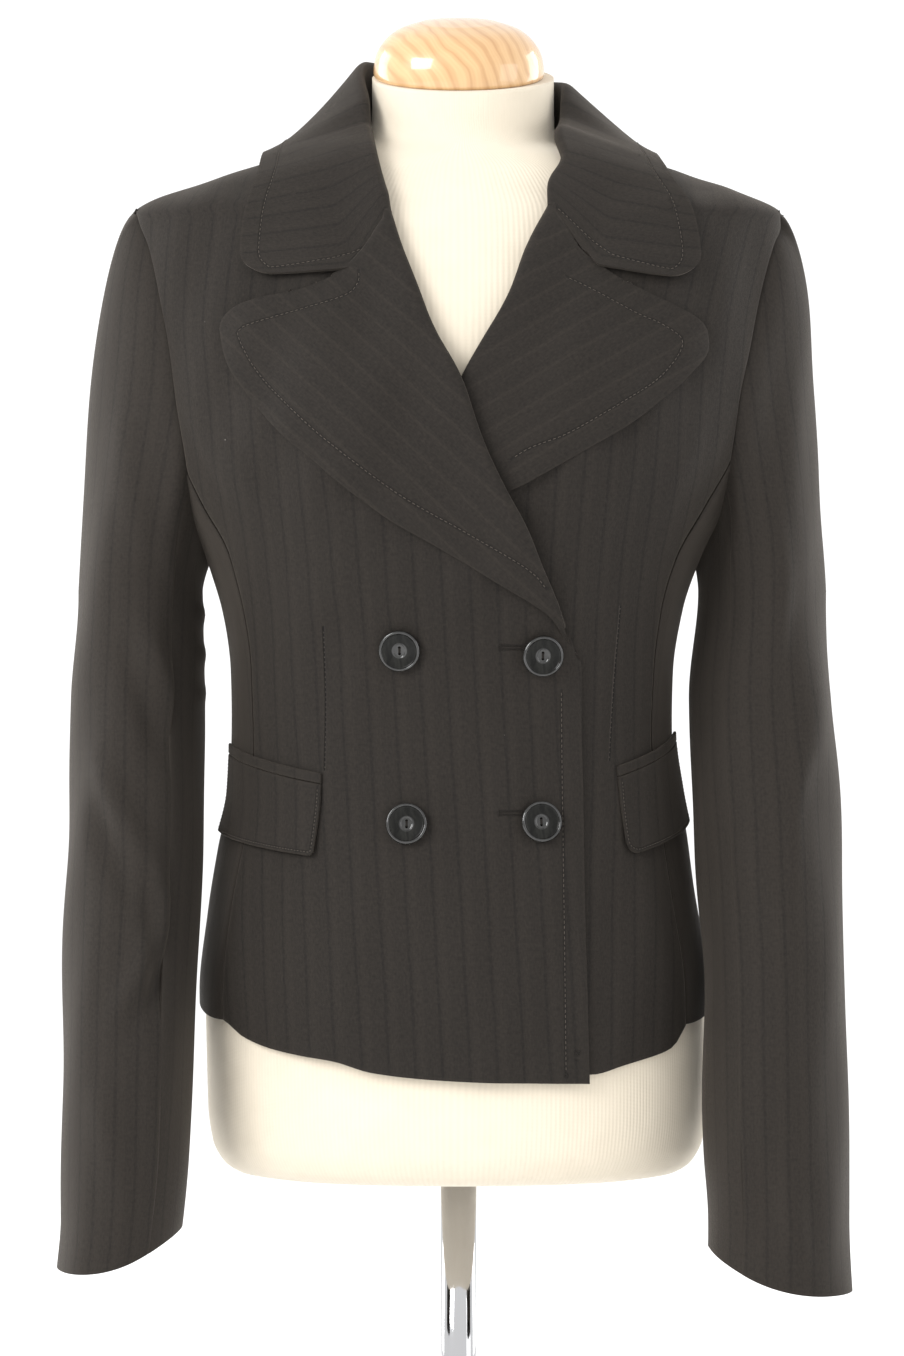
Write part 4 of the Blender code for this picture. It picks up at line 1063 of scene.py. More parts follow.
def collar_points():
    """Rows along the collar; columns go up the stand, over the roll and down the leaf's underside."""
    share = shares(COLLAR_ROWS, COLLAR_LENGTH, both=True)
    foot = collar_line(COLLAR_FOOT, share, CLOTH + SEAM)
    top = collar_line(COLLAR_ROLL, share, CLOTH + 2 * SEAM)
    edge = collar_line(COLLAR_EDGE, share, CLOTH + LAYER + COLLAR_STANDS_OFF)
    outside = outward(*top.T)
    up = np.cross(unit(np.gradient(top, axis=0)), outside)
    up = unit(up * np.sign(np.sum(up * (top - edge), axis=1))[:, None])
    reach = reach_along(top, 0)
    near_end = smooth(1 - reach / END_EASE) + smooth(1 - (reach[-1] - reach) / END_EASE)
    top = top - up * END_DRAWN * near_end[:, None]
    radius = (COLLAR_ROLL_RADIUS * (1 - END_SLIM * near_end))[:, None]
    start = top + outside * 2 * radius
    down = unit(edge - start)
    handle = ROLL_HANDLE * radius
    leaf_share = 1 - shares(LEAF_COLUMNS + 1, LEAF_WIDTH)[::-1]
    along_edge = reach_along(edge, 0)
    cut = 0
    for corner, from_end in zip(COLLAR_CORNERS, (along_edge, along_edge[-1] - along_edge)):
        cut = cut + corner_cut(from_end, corner)
    ends = (
        (collar_end(RIGHT_COLLAR_END, leaf_share), 0, smooth(1 - share / END_FADE)),
        (collar_end(LEFT_COLLAR_END, leaf_share), -1, smooth(1 - (1 - share) / END_FADE)),
    )
    leaves = []
    for column, t in enumerate(leaf_share):
        leaf = start + (edge - start) * t
        distance = np.linalg.norm(leaf - start, axis=1)
        room = leaf_gap(distance, ROLL) + LEAF_ROOM * smooth(distance / LEAF_EASE)
        free = above_body(leaf, CLOTH + room)
        leaf = leaf + (free - leaf) * smooth(t / PUSH_SHARE)
        for end, row, fade in ends:
            leaf = leaf + fade[:, None] * (end[column] - leaf[row])
        leaves.append(leaf)
    leaves = list(cut_back(np.array(leaves), cut))
    columns = [foot + (top - foot) * t for t in np.linspace(0, 1, STAND_COLUMNS + 1)]
    for t in np.linspace(0, 1, TURN_COLUMNS + 1)[1:-1]:
        columns.append(bend(top, top + up * handle, leaves[0] - down * handle, leaves[0], t))
    return np.stack(columns + leaves, axis=1)


collar = collar_points()
print("collar columns:", collar.shape[1])

# %% [markdown]
# ## Pocket flaps and welts
#
# A flap hangs from a narrow welt along its top. Both are patches over the front that carries them,
# one cloth and a breath further out, and the flap's free edge kicks away a little.

# %% Flaps and welts
# Pocket flaps: front end as an angle, back end as an angle, and z along the top and the bottom edge in mm.
FLAPS = {
    "right": {"angles": (31.5, 80.0), "top": (498, 515), "bottom": (456, 468)},
    "left": {"angles": (42.0, 82.0), "top": (502, 522), "bottom": (456, 474)},
}
FLAP_KICK = 1.2 * MM
# A flap's length, as far as it sets where its rounded corner ends.
FLAP_LENGTH = 80 * MM
WELT_HEIGHT = 6 * MM
FLAP_GRID, WELT_GRID = (40, 52), (9, 52)
# Radius of each flap's lower corner towards the front.
FLAP_CORNER = {"right": 2.5 * MM, "left": 9 * MM}


def strip(side, low, high, lift, grid):
    """A patch over a front between two heights given at its front and back ends."""
    rows, columns = grid
    shape = SIDES[side]
    flap = FLAPS[side]
    share = np.linspace(0, 1, columns)[None, :]
    angle = shape["sign"] * (flap["angles"][0] + (flap["angles"][1] - flap["angles"][0]) * share)
    low = low[0] + (low[1] - low[0]) * share
    high = high[0] + (high[1] - high[0]) * share
    if grid == FLAP_GRID:
        low = low + corner_cut(share * FLAP_LENGTH, FLAP_CORNER[side])
    rise = np.linspace(0, 1, rows)[:, None]
    z = low + (high - low) * rise
    angle = angle + 0 * z
    place = at_angle(angle, z, 0.0)
    base = front_height(side, place[..., 0], z)
    kick = FLAP_KICK * (1 - rise) ** 2 * (grid == FLAP_GRID)
    return at_angle(angle, z, base + lift + kick)


flaps, welts = {}, {}
for side, flap in FLAPS.items():
    top = np.array(flap["top"]) * MM
    flaps[side] = strip(side, np.array(flap["bottom"]) * MM, top, LAYER + CLOTH, FLAP_GRID)
    welts[side] = strip(side, top + SEAM, top + SEAM + WELT_HEIGHT, LAYER + CLOTH, WELT_GRID)
print("flap height in mm:", FLAPS["left"]["top"][0] - FLAPS["left"]["bottom"][0])

# %% [markdown]
# ## Folds and creases
#
# Worn cloth isn't a smooth tube. Soft ridges and troughs are placed where the photograph
# shows them: on the sleeves, down from the armholes and below the pocket flaps. The back gets a
# few of the same kind. Each is a path seen from the front or the back, with a width and a height.
# A wide slow sway gives the panels the uneven fall of real cloth. The points move along their own
# normals, so a sheet keeps its thickness.

# %% Soft folds
# The folds, by what their pieces' names start with and the side they are seen from. Each has its
# width and height in mm, and its path as x, z in mm.
FOLDS = {
    ("sleeve_upper_right", "front"): (
        (6.8, 3.9, ((-182, 592), (-169, 556), (-157, 519))),
        (7.6, -3.3, ((-196, 585), (-184, 548), (-171, 512))),
        (7.6, 4.2, ((-210, 512), (-192, 477), (-170, 436))),
        (7.6, -3.6, ((-214, 490), (-203, 462), (-181, 424))),
        (7.6, 3.9, ((-163, 438), (-176, 402), (-197, 362))),
        (8.5, -3.3, ((-160, 415), (-172, 386), (-189, 350))),
        (9.3, 2.7, ((-206, 330), (-196, 290), (-190, 246))),
        (10.2, 2.2, ((-196, 720), (-192, 670), (-180, 620))),
        (4.5, 1.6, ((-176, 470), (-170, 430), (-168, 380))),
        (5.0, 1.5, ((-186, 448), (-181, 400), (-180, 340))),
        (4.5, -1.3, ((-181, 455), (-175, 410), (-174, 356))),
        (5.0, 1.5, ((-176, 320), (-172, 285), (-171, 250))),
        (5.5, 1.5, ((-172, 640), (-163, 610), (-158, 570))),
    ),
    ("sleeve_upper_left", "front"): (
        (11.0, -3.9, ((200, 622), (193, 580), (180, 532))),
        (10.2, 3.0, ((212, 560), (205, 520), (190, 486))),
        (8.5, 3.6, ((186, 272), (191, 246), (197, 216))),
        (10.2, -2.7, ((172, 300), (176, 268), (180, 232))),
        (11.9, 2.4, ((160, 470), (176, 440), (200, 400))),
        (10.2, 2.4, ((198, 742), (200, 690), (196, 640))),
        (7.0, 2.6, ((186, 660), (192, 610), (190, 560))),
        (6.0, 1.8, ((156, 640), (150, 590), (146, 545))),
        (5.5, 1.5, ((204, 520), (196, 480), (194, 430))),
    ),
    ("sleeve_under_right", "front"): (
        (3.4, 2.1, ((-156, 604), (-150, 596), (-145, 590))),
        (3.4, 2.1, ((-155, 580), (-149, 571), (-144, 566))),
        (3.4, 1.8, ((-154, 556), (-149, 549), (-144, 545))),
    ),
    ("sleeve_", "back"): (
        (8.5, 2.1, ((-168, 560), (-188, 548), (-214, 552))),
        (8.5, -1.7, ((-166, 538), (-188, 526), (-214, 531))),
        (8.5, 1.9, ((168, 556), (188, 545), (212, 550))),
        (8.5, -1.7, ((166, 534), (188, 523), (212, 528))),
        (10.2, 2.7, ((-172, 640), (-186, 600), (-196, 580))),
        (10.2, 2.7, ((172, 636), (186, 598), (196, 578))),
    ),
    ("front_right", "front"): (
        (4.5, 1.3, ((-157, 729), (-147, 698), (-125, 658))),
        (4.5, 1.2, ((-149, 727), (-138, 694), (-114, 654))),
        (4.5, 1.0, ((-141, 724), (-129, 690), (-104, 651))),
        (8, 1.6, ((-124, 470), (-127, 440), (-131, 392))),
        (16, 1.8, ((-60, 470), (-62, 400), (-66, 336))),
        (18, 1.6, ((10, 440), (12, 390), (12, 332))),
        (12, -1.4, ((40, 560), (44, 525), (46, 492))),
        (14, 1.2, ((-112, 640), (-98, 610), (-86, 580))),
    ),
    ("front_left", "front"): (
        (6, 1.4, ((158, 722), (150, 696), (136, 664))),
        (6, 1.1, ((148, 724), (139, 694), (122, 660))),
        (9, 1.6, ((112, 460), (118, 420), (126, 372))),
    ),
    ("back_", "back"): (
        (16, 1.8, ((-110, 470), (-116, 430), (-122, 382))),
        (18, 1.8, ((-48, 460), (-50, 420), (-54, 380))),
        (18, 1.8, ((52, 462), (54, 424), (58, 380))),
        (16, 1.8, ((108, 470), (114, 428), (120, 382))),
        (9, 1.6, ((-120, 548), (-84, 538), (-40, 544))),
        (9, 1.5, ((118, 552), (86, 540), (44, 546))),
        (8, 1.6, ((-150, 742), (-138, 700), (-132, 656))),
        (8, 1.6, ((150, 740), (138, 698), (132, 656))),
    ),
}
# The slow sway: its height in mm and the lengths of its waves across and up. The last length, from front
# to back, is the same for all.
SWAYS = ((0.55, 0.083, 0.240), (0.40, -0.051, 0.170), (0.30, 0.037, -0.110))
SWAY_DEPTH = 0.09
# A fold sinks to nothing at its ends, by this power of a sine, and where the piece turns out of view.
FOLD_ENDS, OUTLINE_EASE = 0.6, 0.5


def from_path(x, z, path):
    """Distance from a path, and how far along it from 0 to 1, for places seen from one side."""
    path = np.array(path, float) * MM
    reach = reach_along(path, 0)
    nearest = np.full(x.shape, np.inf)
    place = np.zeros(x.shape)
    for start, end, low, high in zip(path, path[1:], reach, reach[1:]):
        leg = end - start
        t = np.clip(((x - start[0]) * leg[0] + (z - start[1]) * leg[1]) / leg.dot(leg), 0, 1)
        distance = np.hypot(x - start[0] - t * leg[0], z - start[1] - t * leg[1])
        closer = distance < nearest
        nearest = np.where(closer, distance, nearest)
        place = np.where(closer, (low + (high - low) * t) / reach[-1], place)
    return nearest, place


def fold_height(name, points, normals):
    """How far each point of a piece moves out, in metres."""
    x, y, z = points.T
    height = np.zeros(len(points))
    for rise, wave_x, wave_z in SWAYS:
        height += rise * MM * np.sin(2 * math.pi * (x / wave_x + y / SWAY_DEPTH + z / wave_z))
    for (start, seen_from), folds in FOLDS.items():
        if not name.replace("side_", f"{seen_from}_").startswith(start):
            continue
        facing = -normals[:, 1] if seen_from == "front" else normals[:, 1]
        for width, rise, path in folds:
            distance, place = from_path(x, z, path)
            ends = np.sin(math.pi * np.clip(place, 0.02, 0.98)) ** FOLD_ENDS
            shape = np.exp(-((distance / (width * MM)) ** 2)) * ends
            height += rise * MM * shape * smooth(facing / OUTLINE_EASE + 0.5)
    return height


print("folds placed by hand:", sum(len(folds) for folds in FOLDS.values()))

# %% [markdown]
# ## Where the stripes run
#
# Cloth is cut flat, so its stripes stay evenly spaced along each panel. On the body they run down
# from the shoulder. On a lapel they follow its slant, and on the collar they run from the roll to
# the free edge. The grain map says so: for each point, its distance across the stripes and along.

# %% Grain of each panel
# How much the stripes lean on each front, and the height at which they stand where they would with no lean.
STRIPE_LEAN = {"right": 0.055, "left": -0.03}
LEAN_HEIGHT = 0.6
LAPEL_SLANT = {"right": math.radians(-43), "left": math.radians(31)}
SLEEVE_OVAL = (39 * MM, 55 * MM)
HEAD_SHIFT, HEAD_SHIFT_EASE = 16 * MM, 150 * MM
SHOULDER_SPLAY, SPLAY_START = 0.34, 0.765


def level_reach(points, start=0):
    """How far round the body each point lies at its own height, from a line at this angle."""
    angle = np.linspace(0, math.pi, 181)
    heights = np.linspace(0.30, 0.90, 61)
    rings = [at_angle(np.degrees(angle), z, CLOTH)[:, :2] for z in heights]
    table = reach_along(np.array(rings), 1)
    table -= table[:, start : start + 1]
    x, y, z = np.moveaxis(points, -1, 0)
    wide, deep = ring(np.abs(x), np.where(y < 0, -1.0, 1.0), z)
    turn = np.arctan2((np.abs(x) / wide) ** (ROUNDNESS / 2), (np.abs(y) / deep) ** (ROUNDNESS / 2))
    turn = np.where(y < 0, turn, math.pi - turn)
    row = np.clip(np.interp(z, heights, np.arange(61)), 0, 59.999)
    column = np.clip(turn / math.pi * 180, 0, 179.999)
    return np.sign(x) * between(table, row, column)


def body_grain(points, start=0, lean=0.0):
    """Stripes run down from the shoulder, even about the line at this angle."""
    z = points[..., 2]
    splay = SHOULDER_SPLAY * np.maximum(z - SPLAY_START, 0) ** 1.2 * (start < 90)
    return np.stack([level_reach(points, start) + lean * (z - LEAN_HEIGHT) - splay, z], axis=-1)


def front_grain(side):
    """The body runs up and down; the lapel, which is a separate facing, follows its own slant."""
    points = fronts[side]
    grain = body_grain(np.nan_to_num(points), lean=STRIPE_LEAN[side])
    slant = LAPEL_SLANT[side]
    lapel = np.s_[:, BODY_COLUMNS + ROLL_COLUMNS // 2 :]
    x, _, z = np.moveaxis(points[lapel], -1, 0)
    across = -x * math.sin(slant) + z * math.cos(slant)
    down = x * math.cos(slant) + z * math.sin(slant)
    grain[lapel] = np.stack([across, down], axis=-1)
    return grain


def sleeve_grain(side, points):
    """Stripes hang straight down the sleeve; across is the arc round it from its outer line."""
    x, y, z = np.moveaxis(points, -1, 0)
    inner, outer, forward, deep = sleeve_section(side, z)
    middle = (inner + outer) / 2 - HEAD_SHIFT * smooth((z - SLEEVE_TOP) / HEAD_SHIFT_EASE)
    turn = np.arctan2(-(y + forward) / deep, (np.abs(x) - middle) / ((outer - inner) / 2))
    round_way = np.unwrap(turn, axis=1)
    angle = np.linspace(-2 * math.pi, 2 * math.pi, 361)
    oval = np.stack([SLEEVE_OVAL[0] * np.cos(angle), SLEEVE_OVAL[1] * np.sin(angle)], axis=-1)
    across = np.interp(round_way, angle, reach_along(oval, 0))
    return np.stack([across, z], axis=-1)


def collar_grain(points):
    """The collar is cut with its stripes across it, so on the front they lie nearly level."""
    middle = points[:, points.shape[1] * 2 // 3]
    across = np.broadcast_to(reach_along(middle, 0)[:, None], points.shape[:2])
    return np.stack([across, reach_along(points, 1)], axis=-1)


half_chest = float(level_reach(fronts["left"][90, :1])[0])
print("stripes in half a chest:", round(half_chest / (STRIPE_PITCH * MM), 1))

# %% [markdown]
# ## From grid to sheet
#
# A grid of points becomes a mesh, one face between every four neighbours. The mesh keeps its grain
# map and the distance to its own edge. Its points are moved out by the folds, and pulled in a
# little beside a seam, where two panels are turned under. Solidify then adds the cloth's thickness
# on the wrong side, and a Bevel rounds the cut edge.

# %% Sheets of cloth
# How far a seam and a gorge are drawn in.
SEAM_IN, GORGE_IN = 0.32 * MM, 0.6 * MM
TURN_LENGTH = 1.0 * MM
EDGE_ROUND = 0.75 * MM
FAR = 40.0
# So many of the collar's columns, from its roll, lie along the gorge seam.
GORGE_COLUMNS = 13
made = {}


def grid_faces(there):
    """Faces between neighbouring points of a grid, where all four exist, and the column of each."""
    index = np.cumsum(there.ravel()).reshape(there.shape) - 1
    whole = there[:-1, :-1] & there[:-1, 1:] & there[1:, 1:] & there[1:, :-1]
    corners = (index[:-1, :-1], index[:-1, 1:], index[1:, 1:], index[1:, :-1])
    return np.stack([corner[whole] for corner in corners], axis=-1), np.nonzero(whole)[1]


def edge_distance(points, there):
    """Distance to the sheet's nearest edge in mm, measured along its rows and columns."""
    filled = np.where(there[..., None], points, 0)
    nearest = np.full(there.shape, np.inf)
    for axis in (0, 1):
        step = np.linalg.norm(np.diff(filled, axis=axis), axis=-1)
        present = np.moveaxis(there, axis, 0)
        step = np.where(present[1:] & present[:-1], np.moveaxis(step, axis, 0), np.nan)
        rows = len(step) + 1
        for order in (range(rows), range(rows - 1, -1, -1)):
            run = np.zeros(step.shape[1])
            before = None
            for row in order:
                if before is not None:
                    run = np.nan_to_num(run + step[min(row, before)], nan=0.0)
                target = np.moveaxis(nearest, axis, 0)
                target[row] = np.minimum(target[row], run)
                before = row
    return np.minimum(nearest / MM, FAR)


def sheet(name, points, grain, finish, flip, seams=(), gorge=None, fold_over=True):
    """One sheet of cloth on its solid's place: outer points, grain map, folds, wall, round edge.

    Its seams are pulled in. A gorge is a border and columns of a lapel or collar, whose named
    points lie on the underside, so it's pulled the other way.
    """
    there = ~np.isnan(points[..., 0])
    faces, _ = grid_faces(there)
    place = points[there]
    piece = new_piece(f"cloth_{name}", place, faces[:, :: -1 if flip else 1].tolist(), finish)
    mesh = piece.data
    normals = numbers_of(mesh.vertex_normals, "vector", np.float32, 3).astype(float)
    height = fold_height(name, place, normals) if fold_over else np.zeros(len(place))
    for seam in seams:
        height -= SEAM_IN * np.exp(-reach_from(points, seam)[there] / TURN_LENGTH)
    for border, columns in gorge or ():
        pull = np.zeros(there.shape)
        pull[:, columns] = np.exp(-reach_from(points, border)[:, columns] / TURN_LENGTH)
        height += GORGE_IN * pull[there]
    place = place + normals * height[:, None]
    mesh.vertices.foreach_set("co", place.astype(np.float32).ravel())

    loops = numbers_of(mesh.loops, "vertex_index", np.int32, 1)[:, 0]
    for map_name, values in (("grain", grain[there][loops]), ("stitches", np.tile([FAR, 0], len(loops)))):
        layer = mesh.uv_layers.new(name=map_name)
        layer.data.foreach_set("uv", values.astype(np.float32).ravel())
    keep_numbers(mesh, "edge_mm", edge_distance(points, there)[there])
    mesh.update()

    wall = piece.modifiers.new("wall", "SOLIDIFY")
    wall.thickness = CLOTH
    wall.offset = -1
    rounding = piece.modifiers.new("round edge", "BEVEL")
    rounding.width = EDGE_ROUND
    rounding.segments = 2
    rounding.limit_method = "ANGLE"
    rounding.angle_limit = math.radians(55)
    made[name] = piece
    return piece


def reach_from(points, seam):
    """Distance of each point from one border of its grid."""
    axis = int(seam.endswith("column"))
    if seam.startswith("first"):
        return reach_along(np.nan_to_num(points), axis)
    return np.flip(reach_along(np.flip(np.nan_to_num(points), axis), axis), axis)


body_wool = wool("striped wool, body")
# The side panels and sleeves are painted paler than the body, as painted light where the lamps leave them
# darker.
side_wool_painted_light = wool("striped wool, sides", painted_light=0.38)
sleeve_wool_painted_light = wool("striped wool, sleeves", pitch=12.5, line=-0.38, band=0.14, painted_light=0.26)
collar_wool = wool("striped wool, collar", pitch=13.5, line=-0.40, band=0.12)
lapel_wool = wool("striped wool, lapels", pitch=13.0, line=0.34, band=-0.10)

both_seams = ("first column", "last column")
for side in SIDES:
    right = side == "right"
    gorge = (("last row", slice(BODY_COLUMNS + ROLL_COLUMNS, None)),)
    grain = front_grain(side)
    piece = sheet(f"front_{side}", fronts[side], grain, body_wool, not right, both_seams[:1], gorge)
    piece.data.materials.append(lapel_wool)
    sheet(f"side_{side}", sides[side], body_grain(sides[side], 90), side_wool_painted_light, right, both_seams)
    sheet(f"back_{side}", backs[side], body_grain(backs[side], 180), body_wool, right, both_seams)
    for part, _, _ in SLEEVE_ARCS:
        name = f"sleeve_{part}_{side}"
        points = sleeves[name]
        sheet(name, points, sleeve_grain(side, points), sleeve_wool_painted_light, right, both_seams)
    for part, patches in (("flap", flaps), ("welt", welts)):
        grain = body_grain(patches[side], lean=STRIPE_LEAN[side])
        sheet(f"{part}_{side}", patches[side], grain, body_wool, right, fold_over=False)
leaf = STAND_COLUMNS + TURN_COLUMNS
in_gorge = slice(leaf, leaf + GORGE_COLUMNS)
gorge = (("first row", in_gorge), ("last row", in_gorge))
sheet("collar", collar, collar_grain(collar), collar_wool, False, gorge=gorge, fold_over=False)
print("sheets of cloth:", len(made))

# %% [markdown]
# The lapels are cut from a facing, whose stripes read pale. So the faces past the roll take their
# own finish.

# %% Lapels take the facing's finish
for side in SIDES:
    _, column = grid_faces(~np.isnan(fronts[side][..., 0]))
    past_roll = (column >= BODY_COLUMNS + ROLL_COLUMNS // 2).astype(np.int32)
    made[f"front_{side}"].data.polygons.foreach_set("material_index", past_roll)
    print("lapel faces:", int(past_roll.sum()))

# %% [markdown]
# ## The dress form
#
# The form is a firm foam torso without limbs, covered in cream jersey. It follows the body inside
# the cloth, closes in under the hips with a rounded rim, and its neck rises to a slanting cut. The
# jersey is a fine rib that runs up the neck, so its finish is narrow ridges round the form.

# %% The torso
# The dress form: z, how far inside the cloth's body surface it lies, its widest half width, in mm.
FORM = (
    (265, 27.0, 160), (267, 17.0, 160), (273, 9.0, 160), (285, 3.5, 160), (305, 1.6, 160),
    (373, 1.6, 160), (421, 1.6, 160), (457, 1.6, 160), (493, 1.6, 160), (529, 1.6, 160),
    (565, 1.6, 160), (601, 1.6, 160), (631, 1.6, 141), (660, 1.6, 148), (695, 1.6, 152),
    (730, 1.6, 155), (770, 1.6, 157), (810, 1.6, 157), (833, 2.0, 153), (846, 2.2, 138),
    (858, 2.4, 120), (868, 2.6, 100), (878, 2.6, 80), (888, 2.6, 60),
)
NECK_X = 3.6 * MM
NECK_WIDE = 54.5 * MM
NECK_DEEP = 47.5 * MM
NECK_TOP = 920 * MM
NECK_TILT = math.radians(17.5)
NECK_BOTTOM = 858 * MM
NECK_EASE = 45 * MM
FORM_COLUMNS = 192
# How many rings the form has round its rim, up the body and up the neck.
RIM_RINGS, BODY_RINGS, NECK_RINGS = 22, 98, 30
# A closed body's ends are filled by rings that shrink to these shares.
END_SHARES = (0.985, 0.9, 0.6, 0.3, 0.05)
JERSEY_PALE = (0.66, 0.59, 0.48, 1)
JERSEY_DEEP = (0.50, 0.44, 0.34, 1)
JERSEY_RIB, JERSEY_COURSE = 0.95, 0.8 * MM


def form_ring(z):
    """One ring of the form at a height; the top one slants."""
    angle = np.linspace(-math.pi, math.pi, FORM_COLUMNS, endpoint=False)
    sine, cosine = np.sin(angle), np.cos(angle)
    inset, widest = read(FORM, z / MM) * MM
    wide, deep = ring(sine, -cosine, z)
    wide = np.minimum(wide - inset, widest)
    deep = deep - inset
    neck = smooth((z - NECK_BOTTOM) / NECK_EASE)
    power = 2 / (ROUNDNESS + (2.0 - ROUNDNESS) * neck)
    x = wide * np.sign(sine) * np.abs(sine) ** power
    y = -deep * np.sign(cosine) * np.abs(cosine) ** power
    x = x + (NECK_X + NECK_WIDE * sine - x) * neck
    y = y + (-NECK_DEEP * cosine - y) * neck
    lean = math.tan(NECK_TILT) * y * smooth((z - NECK_BOTTOM) / (NECK_TOP - NECK_BOTTOM))
    return np.stack([x, y, z + lean], axis=-1)


def closed_body(name, rings, finish):
    """A closed body over rings of points, its two ends filled by shrinking rings."""
    caps = []
    for end in (rings[0], rings[-1]):
        middle = end.mean(axis=0)
        caps.append([middle + (end - middle) * share for share in END_SHARES])
    rings = np.array(caps[0][::-1] + list(rings) + caps[1])
    rows, columns = rings.shape[:2]
    piece = new_piece(name, rings, tube_faces(rows, columns), finish)
    circle = math.pi * (NECK_WIDE + NECK_DEEP) / MM
    keep_numbers(piece.data, "round_mm", np.tile(np.linspace(0, 1, columns) * circle, rows))
    return piece


def jersey():
    """Cream rib jersey: narrow ridges round the form and a soft mottle."""
    values = {
        "Roughness": 0.88,
        "Specular IOR Level": 0.2,
        "Sheen Weight": 0.5,
        "Sheen Roughness": 0.5,
        "Sheen Tint": (1.0, 0.95, 0.85, 1),
    }
    knit = Finish("cream jersey", values)
    place = knit.place()
    _, _, z = knit.parts(place)
    rib = knit.number("round_mm").wave(JERSEY_RIB)
    course = z.wave(JERSEY_COURSE)
    mottle = knit.noise(place, 60.0, 3.0)
    cloud = knit.noise(place, 9.0, 2.0)
    shade = 0.12 + (mottle - 0.5) * 0.35 + (cloud - 0.5) * 0.30 + rib * -0.07
    height = rib * 0.05 + course * 0.02 + (mottle - 0.5) * 0.06
    sockets = {
        "Base Color": knit.mix(shade.most(0.0), JERSEY_PALE, JERSEY_DEEP),
        "Roughness": 0.84 + mottle * 0.08,
        "Normal": knit.bump(height, MM),
    }
    return knit.done(sockets)


form_heights = np.concatenate(
    [
        np.linspace(FORM[0][0], FORM[4][0], RIM_RINGS),
        np.linspace(FORM[4][0], NECK_BOTTOM / MM, BODY_RINGS)[1:],
        np.linspace(NECK_BOTTOM / MM, NECK_TOP / MM, NECK_RINGS)[1:],
    ]
) * MM
form = closed_body("torso_jersey", [form_ring(z) for z in form_heights], jersey())
print("form height in mm:", round((NECK_TOP - form_heights[0]) / MM))

# %% [markdown]
# ## The neck cap
#
# A turned maple cap closes the neck. It has a short straight side, where a thin line shows between
# wood and jersey, and a low dome. It is varnished, so its shader has a clear coat over the grain.
# The grain is rings of a trunk, cut at a slant: distance from a leaning axis, made wavy by noise.

# %% The cap
CAP_HEIGHT = 35 * MM
CAP_SHARE = 0.936
CAP_SHIFT = -2.5 * MM
CAP_PROFILE = ((0.975, 0.0), (1.0, 0.05), (1.0, 0.2), (0.965, 0.42), (0.87, 0.64), (0.7, 0.83), (0.45, 0.95))
CAP_STEPS = 46
# The cap's top ring is carried on as a dome of this height, and all of it leans with the neck.
DOME_HEIGHT = 0.05 * CAP_HEIGHT
CAP_LEAN = np.array([0, -math.sin(NECK_TILT), math.cos(NECK_TILT)])
GROWTH_PITCH, FINE_PITCH = 7.8 * MM, 2.1 * MM
MAPLE_PALE = (0.66, 0.43, 0.215, 1)
MAPLE_DEEP = (0.42, 0.215, 0.080, 1)


def maple():
    """Varnished maple: slanting growth rings, fine pores and a clear coat."""
    values = {"Roughness": 0.34, "Coat Weight": 0.9, "Coat Roughness": 0.06, "Coat IOR": 1.5}
    wood = Finish("varnished maple", values)
    place = wood.place()
    x, y, z = wood.parts(place)
    wave = wood.noise(place, 26.0, 2.0)
    slant = x * 0.86 + z * 0.42 + y * 0.25 + (wave - 0.5) * 0.016
    growth = slant.wave(GROWTH_PITCH) * 0.5 + 0.5
    fine = slant.wave(FINE_PITCH) * 0.5 + 0.5
    pores = wood.noise(wood.join(slant * 900.0, z * 60.0 - x * 40.0, y * 60.0), 1.0, 2.0)
    cloud = wood.noise(place, 34.0, 2.0)
    shade = growth.power(2.2) * 0.42 + fine * 0.10 + (pores - 0.5) * 0.34 + (cloud - 0.5) * 0.45 + 0.16
    sockets = {
        "Base Color": wood.mix(shade.most(0.0), MAPLE_PALE, MAPLE_DEEP),
        "Roughness": 0.30 + pores * 0.12,
        "Normal": wood.bump(pores, 0.05 * MM, 0.5),
    }
    return wood.done(sockets)


def cap_rings():
    """Rings of the cap, leaning with the top of the neck."""
    rings = form_ring(NECK_TOP)
    middle = rings.mean(axis=0)
    rings = middle + (rings - middle) * CAP_SHARE + [CAP_SHIFT, 0, 0]
    middle = rings.mean(axis=0)
    profile = along(CAP_PROFILE, np.linspace(0, 1, CAP_STEPS))
    return [middle + (rings - middle) * reach + CAP_LEAN * (rise * CAP_HEIGHT) for reach, rise in profile]


def dome(name, rings, finish):
    """A closed body whose last ring is carried on over the top as a smooth dome."""
    piece = closed_body(name, rings, finish)
    place = numbers_of(piece.data.vertices, "co", np.float32, 3).reshape(-1, FORM_COLUMNS, 3)
    edge = place[-len(END_SHARES) - 1]
    middle = edge.mean(axis=0)
    for row, share in enumerate(END_SHARES, -len(END_SHARES)):
        place[row] = middle + (edge - middle) * share + CAP_LEAN * (1 - share**2) * DOME_HEIGHT
    piece.data.vertices.foreach_set("co", place.ravel())
    return piece


cap = dome("maple_cap", cap_rings(), maple())
print("cap height in mm:", round(CAP_HEIGHT / MM))

# %% [markdown]
# ## Pole and base
#
# A chromed tube carries the form, on a heavy round plate. Both are turned from a profile with a
# Screw modifier, as on a lathe. Chrome is a clean mirror with faint polishing marks, so roughness
# changes only a little.

# %% Chrome stand
POLE_RADIUS, POLE_X = 10.8 * MM, 1 * MM
BASE_RADIUS, BASE_HEIGHT, BASE_EDGE, FOOT_EDGE = 150 * MM, 14 * MM, 3.2 * MM, 0.6 * MM
TURN_STEPS = 128


